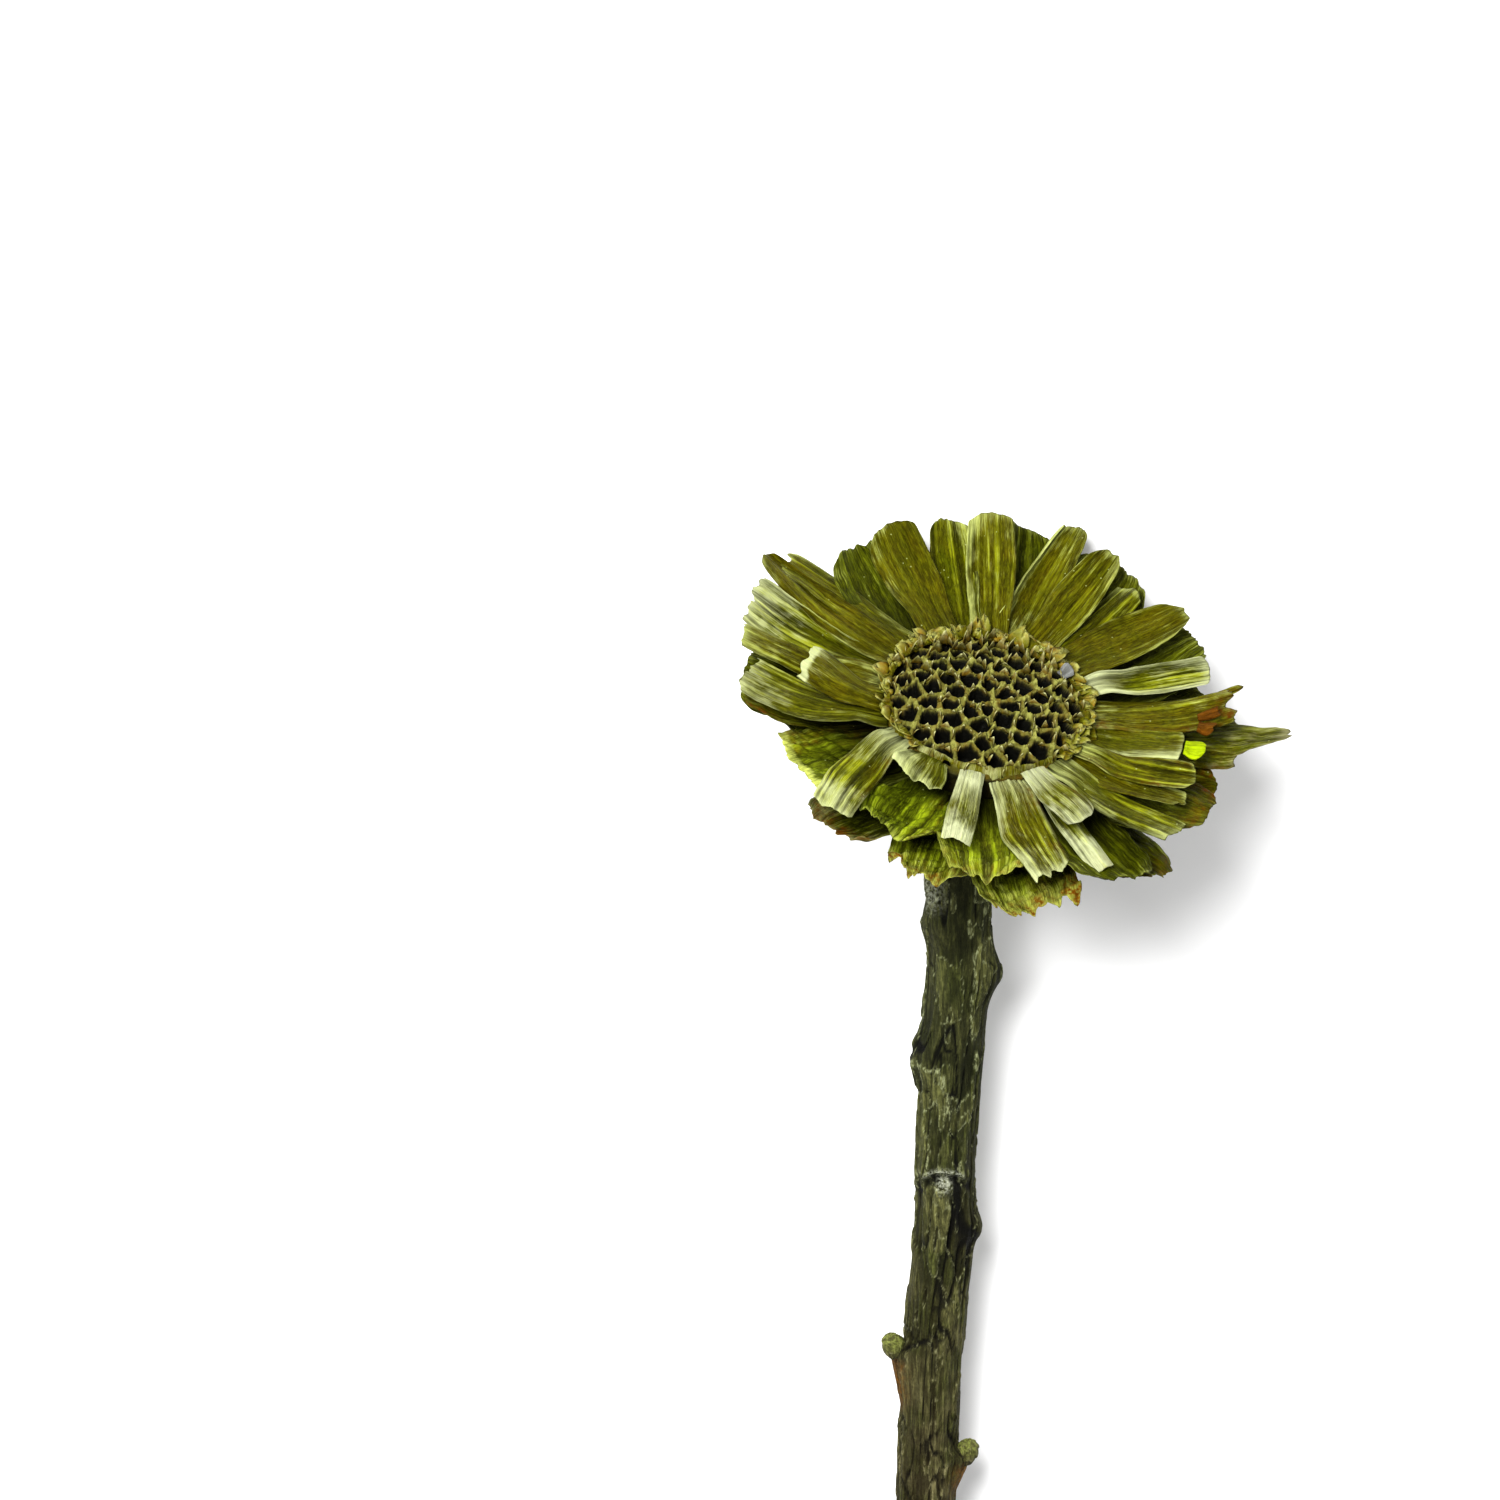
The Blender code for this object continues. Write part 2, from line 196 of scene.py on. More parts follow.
def add(tree, kind, values=None, **settings):
    """A new node of that kind, with its settings and its inputs."""
    node = tree.nodes.new("ShaderNode" + kind)
    for key, value in settings.items():
        setattr(node, key, value)
    return feed(node, values or {})


def use(tree, group, **values):
    """The value that a node group gives when it is placed in a material."""
    node = tree.nodes.new("ShaderNodeGroup")
    node.node_tree = group
    return feed(node, values).outputs[0]


def mask_of(tree, name):
    """The value of a piece's own point attribute."""
    return add(tree, "Attribute", attribute_name=name).outputs["Fac"]


def sums(operation, first, second=0.0, clamp=False):
    """One arithmetic step on one or two values, in the node tree of the one that is a node's output."""
    tree = (first if isinstance(first, bpy.types.NodeSocket) else second).id_data
    return add(tree, "Math", {0: first, 1: second}, operation=operation, use_clamp=clamp).outputs[0]


times, plus, minus = (partial(sums, operation) for operation in ("MULTIPLY", "ADD", "SUBTRACT"))


def mixed(factor, first, second):
    """Two colours mixed by a factor; either may be a plain colour or another node's output."""
    first, second = ((*colour, 1.0) if isinstance(colour, tuple) else colour for colour in (first, second))
    return add(factor.id_data, "Mix", {0: factor, 6: first, 7: second}, data_type="RGBA").outputs[2]


def new_material(name, specular):
    """A material with its node tree, its shader, and a way to read a piece's masks in it."""
    made = bpy.data.materials.new(name)
    made.use_nodes = True
    shader = made.node_tree.nodes["Principled BSDF"]
    shader.inputs["Specular IOR Level"].default_value = specular
    return made, made.node_tree, shader, partial(mask_of, made.node_tree)


def surface(shader, face, roughness, height, strength, distance):
    """The colour, the roughness and the fine relief, joined to the shader."""
    bump = add(shader.id_data, "Bump", {"Height": height, "Strength": strength, "Distance": distance})
    feed(shader, {"Base Color": face, "Roughness": roughness, "Normal": bump.outputs["Normal"]})


# %% The shared effects
def new_group(name, **inputs):
    """An empty node group with numbers as its inputs, and one number, Value, as its output."""
    tree = bpy.data.node_groups.new(name, "ShaderNodeTree")
    for label, default in inputs.items():
        tree.interface.new_socket(label, in_out="INPUT", socket_type="NodeSocketFloat").default_value = default
    tree.interface.new_socket("Value", in_out="OUTPUT", socket_type="NodeSocketFloat")
    return tree, tree.nodes.new("NodeGroupInput").outputs, tree.nodes.new("NodeGroupOutput")


def in_cells(tree, size):
    """The piece's own coordinates, counted in cells of that many millimetres."""
    finer = add(tree, "VectorMath", {0: add(tree, "TexCoord").outputs["Object"]}, operation="SCALE")
    return feed(finer, {"Scale": sums("DIVIDE", 1 / MILLIMETRE, size)}).outputs[0]


def cloud(tree, given, out, where, detail, roughness):
    """Cloudy noise, stretched so that Low becomes 0 and High becomes 1, as what the group gives out."""
    made = add(tree, "TexNoise", {"Vector": where, "Scale": 1.0, "Detail": detail, "Roughness": roughness})
    sharp = add(tree, "MapRange", {"Value": made.outputs["Fac"], "From Min": given["Low"], "From Max": given["High"]})
    feed(out, {"Value": sharp.outputs["Result"]})


streaks, given, out = new_group("streaks", Along=0.0, Across=0.0, Lines=3.0, Stretch=0.1, Low=0.4, High=0.6, Seed=0.0)
flow = add(streaks, "CombineXYZ", {
    "X": times(given["Across"], given["Lines"]), "Y": times(given["Along"], given["Stretch"]), "Z": given["Seed"]})
cloud(streaks, given, out, flow.outputs[0], 3.0, 0.6)

blotches, given, out = new_group("blotches", Size=3.0, Low=0.4, High=0.6)
cloud(blotches, given, out, in_cells(blotches, given["Size"]), 4.0, 0.65)

SPECK_RADIUS = 0.22  # of a cell
specks, given, out = new_group("specks", Size=1.0, Amount=0.1)
cells = add(specks, "TexVoronoi", {"Vector": in_cells(specks, given["Size"]), "Scale": 1.0})
chance = add(specks, "SeparateColor", {"Color": cells.outputs["Color"]})
chosen = sums("LESS_THAN", chance.outputs["Red"], given["Amount"])
feed(out, {"Value": times(chosen, sums("LESS_THAN", cells.outputs["Distance"], SPECK_RADIUS))})
print("node groups:", [group.name for group in bpy.data.node_groups])

# %% [markdown]
# ## The tissue of the bracts
# Dried bracts are dyed, so they take the green unevenly: olive to brown on the smooth face, lime along the ribs, and
# almost white where the edge is thin or bruised. Masks worked out with the shape say where each of these goes, and
# streaks that follow the piece, by its own along and across values in millimetres, break them into fibres.
# Light is painted in too: a pale sheen and glints on the faces, and near-black shade at each foot and groove.

# %% A finish for bracts
def tissue(name, dark, light, green, rib_colour, pale, grey, brown, roughness, lines):
    """Dyed plant tissue: face colours by tone, ribs and bruises by the pale mask, torn brown edges by its own."""
    made, tree, shader, mask = new_material(name, specular=0.12)
    common = {label: mask(label.lower()) for label in ("Along", "Across", "Seed")}

    def fibrous(lines, stretch, low, high):
        """Streaks that follow the piece."""
        return use(tree, streaks, **common, Lines=lines, Stretch=stretch, Low=low, High=high)

    broad, fine = fibrous(lines, 0.05, 0.40, 0.60), fibrous(lines * 3.1, 0.14, 0.44, 0.58)
    hair = fibrous(lines * 6.0, 0.30, 0.42, 0.62)
    patch = use(tree, blotches, Size=6.0, Low=0.40, High=0.60)
    small = use(tree, blotches, Size=1.1, Low=0.45, High=0.62)
    face = mixed(mask("tone"), green, light)
    face = mixed(times(patch, 0.6), face, dark)
    face = mixed(times(fine, 0.38), face, dark)
    mottle = fibrous(3.4, 0.8, 0.44, 0.60)
    face = mixed(times(mottle, 0.35), face, dark)
    glint = times(minus(1.0, mottle), times(hair, 0.30))
    face = mixed(glint, face, rib_colour)
    crest = mask("crest")
    ribbed = times(times(crest, mask("stripes")), plus(0.35, broad), clamp=True)
    face = mixed(ribbed, face, rib_colour)
    # real bleaching on bruises and edges, with a painted sheen of pale streaks mixed in
    bruise_and_sheen = mixed(mask("grey"), pale, grey)
    sheen = fibrous(0.45, 0.22, 0.50, 0.66)
    worn_and_sheen = plus(times(mask("pale"), 1.5), times(hair, 0.34))
    worn_and_sheen = plus(worn_and_sheen, times(crest, 0.22))
    worn_and_sheen = plus(worn_and_sheen, times(sheen, 0.30))
    worn_and_sheen = minus(worn_and_sheen, 0.62, clamp=True)
    face = mixed(worn_and_sheen, face, bruise_and_sheen)
    scuff = times(minus(hair, 0.72, clamp=True), times(crest, 1.6))
    scuff = times(scuff, plus(0.15, times(mask("pale"), 2.0)), clamp=True)
    face = mixed(scuff, face, pale)
    rust = times(mask("brown"), plus(0.3, small), clamp=True)
    face = mixed(rust, face, brown)
    # painted shade, almost black, where the bract's shade mask is high
    face = mixed(times(mask("deep"), 0.9), face, (0.003, 0.003, 0.0005))
    dust = use(tree, specks, Size=0.6, Amount=0.02)
    face = mixed(times(dust, 0.55), face, (0.42, 0.46, 0.20))
    gloss = add(tree, "MapRange", {"Value": fine, "To Min": roughness, "To Max": roughness + 0.16}).outputs["Result"]
    shader.inputs["Specular Tint"].default_value = (1.0, 1.0, 0.2, 1.0)
    height = plus(times(fine, 0.6), times(hair, 0.4))
    height = minus(height, times(mottle, 0.5))
    surface(shader, face, gloss, height, strength=0.8, distance=0.00018)
    return made


# Dark, light, green, rib colour, pale, grey, brown, roughness, and broad lines for each millimetre across
TISSUES = {
    "inner_bract": ((0.020, 0.018, 0.0003), (0.090, 0.070, 0.0008), (0.062, 0.078, 0.0008), (0.26, 0.28, 0.008),
        (0.50, 0.55, 0.18), (0.44, 0.46, 0.30), (0.090, 0.026, 0.001), 0.40, 2.0),
    "outer_bract": ((0.010, 0.012, 0.0003), (0.058, 0.050, 0.0008), (0.045, 0.057, 0.0006), (0.22, 0.255, 0.006),
        (0.36, 0.40, 0.10), (0.26, 0.24, 0.15), (0.12, 0.040, 0.002), 0.46, 1.1),
    "lime_bract": ((0.016, 0.018, 0.0005), (0.150, 0.145, 0.012), (0.085, 0.110, 0.003), (0.27, 0.34, 0.010),
        (0.44, 0.48, 0.11), (0.34, 0.32, 0.20), (0.16, 0.060, 0.003), 0.46, 1.1),
    "rust_flake": ((0.045, 0.014, 0.001), (0.190, 0.058, 0.004), (0.100, 0.040, 0.003), (0.20, 0.08, 0.006),
        (0.24, 0.14, 0.03), (0.30, 0.20, 0.10), (0.10, 0.030, 0.002), 0.6, 0.8),
    "lime_fleck": ((0.160, 0.200, 0.001), (0.330, 0.440, 0.002), (0.300, 0.420, 0.002), (0.40, 0.52, 0.004),
        (0.42, 0.52, 0.01), (0.40, 0.46, 0.05), (0.20, 0.16, 0.002), 0.5, 0.6),
    "lilac_chip": ((0.08, 0.08, 0.07), (0.24, 0.24, 0.26), (0.18, 0.20, 0.18), (0.30, 0.30, 0.32),
        (0.36, 0.36, 0.40), (0.30, 0.30, 0.33), (0.20, 0.18, 0.16), 0.5, 1.0),
}
TISSUE = {name: tissue(name, *look) for name, look in TISSUES.items()}

# %% [markdown]
# ## A bract as a curved strap
# A bract is a centreline that leaves the disc's edge and a cross-section carried along it. The cross-section is told
# by its slope: add up small steps across the strap, each turned a little more than the one before, and the strap
# cups, and where it turns further near one edge, that edge folds over. Ribs, a torn tip and a curled end come on top.

# %% The bract surface
# where each rank starts from the axis, its height there, its height at the rim, and how much the rim nods, in mm
RANKS = {
    "top": (16.0, 0.2, 4.7, 3.2), "upper": (15.7, -0.5, 3.0, 3.2), "lower": (15.5, -1.2, 1.3, 3.2),
    "outer": (15.6, -5.2, -0.8, 2.8), "back": (13.5, -9.6, -5.4, 2.2), "basal": (7.6, -14.6, -11.6, 0.8),
    "fleck": (31.6, 0.2, 1.6, 2.8), "rust": (33.2, 1.2, 2.6, 2.8), "chip": (13.8, 1.0, 2.4, 0.0),
}
SHAPE = {
    "cup": 0.5, "roll": 0.0, "curl": 0.0, "hump": 0.0, "fold_left": 0.0, "fold_right": 0.0, "tear": 0.008,
    "slant": 0.0, "round": 0.9, "folds": 0.8, "sway": 0.0, "ruffle": 0.0, "crease": 0.0, "fingers": (),
    "ribs": 0.09, "thickness": 0.4, "base_share": 0.72, "point": 3.0, "tone": 0.6, "stripes": 0.5,
    "pale_all": 0.0, "pale_base": 0.0, "pale_tip": 0.2, "pale_left": 0.0, "pale_right": 0.0, "pale_rim": 0.0,
    "brown_left": 0.0, "brown_right": 0.0, "brown_tip": 0.0, "grey": 0.0, "deep": 0.5, "shade_to": 0.12,
}


def centreline(spec, t):
    """Points along the strap's middle: distance, angle and height run from base to tip, with a sag and a hump."""
    start, floor, rim, nod = RANKS[spec.rank]
    base_angle, tip_angle = math.radians(spec.base), math.radians(spec.tip)
    tip_height = rim + nod * math.sin(tip_angle) + spec.lift
    distance = start + (spec.reach - start) * t
    angle = base_angle + (tip_angle - base_angle) * t + math.radians(spec.sway) * np.sin(math.pi * t)
    sag = 0.05 * (spec.reach - start) * np.sin(math.pi * np.clip(t, 0, 1))
    hump = spec.hump * np.exp(-(((t - 0.2) / 0.14) ** 2))
    height = floor + (tip_height - floor) * t - sag + hump + spec.curl * step(0.55, 1.05, t) ** 2
    return head_point(distance, angle, height)


def bract_surface(spec, seed, rows, columns):
    """The strap's middle surface, its thickness and its colour masks, on a grid of rows by columns."""
    t = np.linspace(0, 1, rows)[:, None]
    s = np.linspace(-1, 1, columns)[None, :]
    width = spec.width
    length = spec.reach - RANKS[spec.rank][0]
    thread = s * 0.5 * width

    # how far each thread of the strap runs: rounded corners, a slant, a torn edge, and fingers left between tears
    lean = math.copysign(1, spec.slant)
    ends = 1 - spec.round / length * np.abs(s) ** 3 - abs(spec.slant) * (1 + lean * s) / 2
    torn = 1.5 * noise(thread / 1.5 + 31, 0 * s, seed) + 0.5 * noise(thread / 0.5, 0 * s, seed + 1) + 1
    ends = ends - spec.tear * torn
    if spec.fingers:
        ends = ends - 0.26 + sum(tall * np.exp(-(((s - at) / wide) ** 4)) for at, tall, wide in spec.fingers)
    u = t * (1 + (ends - 1) * step(0.35, 1.0, t))

    # half width: narrow at the base, full by the middle, rounded at the tip, and never quite straight
    share = spec.base_share
    half = 0.5 * width * (share + (1 - share) * step(0, 0.55, u))
    tip = np.clip((u - 0.62) / 0.38, 0, 1)
    half = half * (spec.tip_share + (1 - spec.tip_share) * (1 - tip ** spec.point) ** (1 / spec.point))
    half = half * (1 + (0.045 + 0.05 * spec.ruffle) * rough(u * length / 3.5, np.sign(s) * 3.0 + 0 * u, seed + 2, 3))

    # the cross-section's slope, and its steps added up from the middle outwards
    slope = spec.cup * s * step(-0.15, 0.35, u)
    slope = slope + spec.folds * noise(s * 2.1 + 7, u * 1.1, seed + 14) * step(0.02, 0.25, u)
    slope = slope + spec.fold_left * step(0.45, 0.85, s) * step(0.05, 0.4, u)
    slope = slope - spec.fold_right * step(0.45, 0.85, -s) * step(0.05, 0.4, u)
    pace = half * (s[0, 1] - s[0, 0])
    sideways = np.cumsum(np.cos(slope) * pace, axis=1)
    upwards = np.cumsum(np.sin(slope) * pace, axis=1)
    middle = columns // 2
    sideways = sideways - sideways[:, middle:middle + 1]
    upwards = upwards - upwards[:, middle:middle + 1]

    # ribs that run along the strap and draw together at its base, wrinkles, and waves that grow towards the edge
    along = u * length
    raw = noise(thread / 0.42 + 0.25 * noise(along / 4, thread, seed + 3), along / 16.0, seed + 4)
    raw = raw + 0.35 * noise(thread / 0.21, along / 8.0, seed + 5)
    rib = spec.ribs * raw * (1 - 0.7 * np.abs(s) ** 6)
    crease = spec.crease * rough(along / 1.6 + 0.4 * thread, thread / 4.5, seed + 6, 3) * step(0.1, 0.5, u)
    swell = 0.34 * rough(along / 4.0, thread / 2.8, seed + 7, 4) * step(0.05, 0.3, u)
    side_of = np.sign(s) * 2 + 0 * along
    waves = spec.ruffle * np.abs(s) ** 1.6 * u**1.2 * (
        noise(along / 4.2, side_of, seed + 8) + 0.5 * noise(along / 1.9, side_of, seed + 9))
    waves = waves + spec.ruffle * 0.8 * step(0.7, 1, u) * noise(thread / 2.6, 0 * thread, seed + 10)
    upwards = upwards + rib + crease + swell * (0.6 + spec.ruffle) + waves

    # carry the cross-section along the centreline, rolled about it
    small = 1e-3
    centre = centreline(spec, u)
    ahead = unit(centreline(spec, u + small) - centreline(spec, u - small))
    out = unit(np.cross(HEAD_AXIS, ahead))
    lifted = np.cross(ahead, out)
    roll = np.radians(spec.roll) * step(0, 0.8, u)[..., None]
    side = np.cos(roll) * out + np.sin(roll) * lifted
    face = np.cos(roll) * lifted - np.sin(roll) * out
    points = centre + side * sideways[..., None] + face * upwards[..., None]

    thin = (1 - np.abs(s) ** 10) ** 0.5 * (1 - step(0.9, 1.0, t) * 0.5)
    thickness = spec.thickness * thin * (1 - 0.35 * u)
    left = step(0.30, 0.95, s + 0.3 * noise(along / 3, 0, seed + 11))
    right = step(0.30, 0.95, -s + 0.3 * noise(along / 3, 0, seed + 12))
    edge = np.maximum(np.abs(s) ** 10, step(0.93, 1.0, t))
    patchy = 0.5 + 0.8 * rough(along / 2.2, thread / 1.4, seed + 13, 3)
    tips = step(0.50, 0.95, u + 0.25 * (patchy - 0.5))
    pale = (
        spec.pale_all * (0.6 + 0.5 * patchy) + spec.pale_base * np.exp(-((u / 0.28) ** 2))
        + spec.pale_tip * tips + spec.pale_left * left + spec.pale_right * right + 0.22 * edge
        + spec.pale_rim * step(0.90, 0.97, t + 0.05 * patchy))
    brown = spec.brown_left * left + spec.brown_right * right + spec.brown_tip * step(0.75, 0.97, t)
    striped = spec.stripes * (0.25 + 0.75 * step(0.15, 0.6, u)) * (0.25 + 1.2 * patchy)
    # painted shade: dark at the bract's foot, where other bracts cover it, and in the grooves between its ribs
    shaded = spec.deep * (1 - step(0.0, spec.shade_to, u))
    masks = {
        "along": along + 40 * seed, "across": thread, "seed": seed * 3.7, "pale": pale, "grey": spec.grey,
        "brown": np.clip(brown * patchy * 1.3, 0, 1), "crest": step(0.0, 0.75, raw), "stripes": striped,
        "tone": np.clip(spec.tone + 0.5 * (patchy - 0.5), 0, 1),
        "deep": shaded + (0.3 + 0.3 * spec.stripes) * step(0.25, 0.9, -raw),
    }
    return points, thickness, masks


def make_bract(name, look, seed, rows, columns, finish, slot, nodes):
    """One bract: its own numbers laid over the common ones, made into a closed sheet."""
    middle, thickness, masks = bract_surface(SimpleNamespace(**{**SHAPE, **look}), seed, rows, columns)
    points, faces, masks = two_sided(middle, thickness, masks)
    return make_piece(name, points, faces, masks, finish, slot, nodes)


# %% [markdown]
# ## The inner bracts
# Each has its own place, length and character, so each has a line of its own: where it starts and ends round the
# clock, how far it reaches and how wide it is, and then how it cups, curls or folds and where the dye has failed.

# %% The inner bracts, one by one
# base and tip in degrees round the head, reach and width in mm, share of the width at the tip, lift in mm, rank,
# then cup, tone, stripes, how pale it is all over and at its tip, and whatever else sets this bract apart
INNER_COLUMNS = "base tip reach width tip_share lift rank cup tone stripes pale_all pale_tip".split()
INNER = [
    (-146, -131, 37.0, 7.2, 0.92, 0.6, "upper", -0.5, 0.45, 1.3, 0.12, 0.45, dict(hump=1.4, curl=-1.0, pale_base=0.7,
        brown_left=0.3, grey=0.55, ribs=0.10)),
    (-124, -121, 22.6, 9.4, 0.92, 0.9, "upper", -0.5, 0.3, 0.5, 0.25, 0.30, dict(curl=-1.2, tear=0.05, pale_right=0.5,
        grey=0.4, deep=0.2, folds=0.8)),
    (-98, -99, 31.0, 5.6, 0.95, 0.2, "upper", -0.55, 0.5, 0.8, 0.40, 0.7, dict(hump=1.2, curl=-1.2, pale_base=0.8,
        grey=0.8, deep=0.1, ribs=0.12, round=0.5)),
    (-78, -73, 38.8, 8.8, 0.88, 0.4, "lower", -0.6, 0.75, 1.0, 0.20, 0.35, dict(hump=0.9, curl=-0.6, slant=0.18,
        tear=0.02, pale_base=0.35, pale_right=0.4, brown_left=0.5, grey=0.6, deep=0.1, ribs=0.12, round=0.4)),
    (-64, -60, 29.5, 6.0, 0.75, 0.5, "top", -0.7, 0.6, 0.6, 0.24, 0.3, dict(curl=-1.6, roll=10, pale_base=0.6,
        brown_left=0.7, grey=0.9, deep=0.1, ribs=0.1)),
    (-60, -61, 37.5, 4.4, 0.90, 0.2, "lower", -0.4, 0.3, 0.9, 0.28, 0.75, dict(curl=-0.8, pale_base=0.2,
        pale_right=0.3, grey=0.75, brown_tip=0.25, round=0.5, ribs=0.13)),
    (-47, -41, 39.2, 7.8, 0.75, 0.0, "upper", -0.5, 0.4, 0.9, 0.1, 0.15, dict(hump=0.5, curl=-0.4, pale_base=0.35,
        pale_right=0.2, grey=0.3, folds=0.8)),
    (-36, -31, 36.0, 6.6, 0.75, 0.0, "lower", 0.4, 0.9, 0.3, 0, 0.2, dict(pale_left=0.2, deep=0.9)),
    (-28, -24.5, 35.5, 5.6, 0.75, 0.2, "upper", -0.4, 0.6, 1.2, 0.1, 0.15, dict(hump=0.6, pale_base=0.5,
        brown_left=0.4, brown_right=0.5, folds=0.9)),
    (-13, -11, 31.5, 7.0, 0.95, 0.0, "lower", -0.25, 0.55, 0.35, 0.1, 0.12, dict(pale_right=0.5, grey=0.5, tear=0.004,
        round=0.6, folds=0.4)),
    (2, 6, 40.5, 9.4, 0.55, 0.2, "upper", -0.45, 0.95, 0.4, 0.06, 0.15, dict(pale_base=0.2, brown_right=0.6,
        brown_tip=0.7, tear=0.03, slant=-0.08, folds=0.7)),
    (21, 15, 37.0, 6.6, 0.90, 0.0, "lower", 0.5, 0.3, 1.2, 0.2, 0.15, dict(hump=1.0, grey=0.7, pale_base=0.9,
        pale_left=0.35, pale_right=0.35, fold_left=0.9, ribs=0.09)),
    (40, 31.5, 37.2, 9.2, 0.60, 0.2, "upper", 0.35, 0.85, 0.2, 0, 0.2, dict(curl=0.8, pale_right=0.1, point=2.4,
        round=2.2, folds=0.5)),
    (50, 48, 35.5, 6.4, 0.80, 0.0, "lower", -0.4, 0.45, 0.7, 0, 0.2, dict(pale_left=0.25, folds=0.7)),
    (60, 57, 37.4, 7.6, 0.55, 0.2, "upper", 0.35, 0.75, 0.5, 0, 0.2, dict(curl=0.6, pale_right=0.2, point=2.4,
        round=1.6, folds=0.8)),
    (75, 69, 41.4, 8.6, 0.45, 0.1, "lower", 0.4, 0.8, 0.4, 0, 0.2, dict(curl=0.5, fold_left=1.2, pale_left=0.45,
        pale_base=0.4, base_share=0.85)),
    (86, 89, 38.2, 8.4, 0.80, 0.2, "upper", 0.3, 0.75, 0.6, 0.08, 0.2, dict(pale_left=0.4, round=1.5, folds=0.5)),
    (99, 99, 38.2, 7.6, 0.75, 0.0, "lower", 0.3, 0.35, 0.6, 0, 0.12, dict(pale_right=0.25, tear=0.015, round=1.5,
        folds=0.7)),
    (113, 115.5, 37.4, 9.4, 0.75, 0.2, "upper", 0.25, 0.7, 0.15, 0, 0.0, dict(curl=0.4, pale_left=0.15, point=2.6,
        round=1.8, slant=0.06, folds=0.5)),
    (131, 142, 41.6, 8.2, 0.60, 0.0, "lower", 0.4, 0.55, 0.7, 0, 0.15, dict(pale_right=0.35, tear=0.03, round=1.5,
        folds=0.8)),
    (146, 145.5, 42.8, 7.8, 0.40, 0.4, "upper", 0.4, 0.95, 0.25, 0, 0.0, dict(pale_left=0.3, point=2.0, tear=0.008,
        folds=0.9)),
    (157, 156.5, 40.4, 9.6, 0.92, 0.0, "lower", -0.2, 0.3, 1.5, 0.12, 0.40, dict(grey=0.7, pale_right=0.1, tear=0.03,
        curl=0.6, ribs=0.14, fold_right=1.6, round=0.4)),
    (167, 168, 39.8, 7.4, 0.88, 0.2, "upper", -0.5, 0.9, 0.5, 0.08, 0.35, dict(hump=0.7, pale_base=0.3, tear=0.02)),
    (186, 176, 28.6, 8.0, 0.95, 0.4, "top", -0.6, 0.95, 0.25, 0, 0.2, dict(curl=-0.8, pale_rim=0.7, pale_right=0.15,
        grey=0.6, tear=0.03, round=0.4)),
    (193, 181, 37.6, 9.8, 0.92, 0.0, "upper", -0.4, 0.45, 1.0, 0.08, 0.28, dict(grey=0.6, pale_left=0.1, tear=0.02,
        folds=0.9, ribs=0.11, round=0.6)),
]
for number, (*row, look) in enumerate(INNER, 1):
    make_bract(
        f"ribbed_bract_{number:02d}", {**dict(zip(INNER_COLUMNS, row)), **look}, number, 92, 37,
        TISSUE["inner_bract"], "inner_bract", [f"inner_bract_{number:02d}"])
print("inner bracts:", len(INNER))

# %% [markdown]
# ## The wide bracts behind
# Behind the ribbed straps stand two ranks of broad, leathery bracts. They have dried into ruffles, so waves grow
# towards their edges, and their thin margins have torn, browned and bleached. The lowest few have kept a limier dye.
# A torn strip, a lime fleck, two rust-coloured flakes and a lilac chip are caught among them.

# %% The outer and back bracts
# degrees round the head, reach and width in mm, share of the width at the tip, tone, and what else sets it apart
OUTER = [
    (3, 48.6, 14.0, 0.80, 0.7, dict(tip=1.4,
        fingers=[(-0.08, 0.225, 0.46), (0.10, 0.045, 0.17), (-0.24, 0.030, 0.13)], grey=0.9, pale_tip=0.35,
        brown_right=0.3, round=0.0)),
    (29, 39.4, 16.4, 0.55, 0.4, dict(pale_tip=0.15)), (57, 40.4, 17.0, 0.65, 0.5, dict()),
    (83, 41.6, 19.0, 0.60, 0.2, dict()), (121, 38.4, 17.4, 0.65, 0.3, dict()),
    (150, 39.8, 16.2, 0.50, 0.4, dict(pale_tip=0.2)),
    (181, 38.2, 11.0, 0.5, 0.7, dict(brown_tip=0.8, brown_left=0.5)),
    (208, 35.0, 17.0, 0.95, 0.25, dict(slant=-0.16, cup=0.1, ruffle=0.35, round=0.3, pale_rim=0.55, pale_left=0.25,
        crease=0.9, stripes=0.5, base_share=0.8, brown_right=0.3)),
    (241, 32.0, 14.6, 0.70, 0.0, dict(stripes=1.4, pale_tip=0.2, brown_left=0.3, crease=1.0, base_share=0.85,
        shade_to=0.5)),
    (270, 36.4, 15.6, 0.65, 0.5, dict(base_share=0.8, deep=0.9, shade_to=0.55, pale_tip=0.35, brown_tip=0.45,
        crease=0.8, stripes=1.0, tear=0.03)),
    (303, 40.4, 16.6, 0.60, 0.4, dict(grey=0.3, crease=0.2)),
    (332, 39.4, 16.0, 0.55, 0.7, dict(brown_tip=0.5, brown_left=0.4)),
]
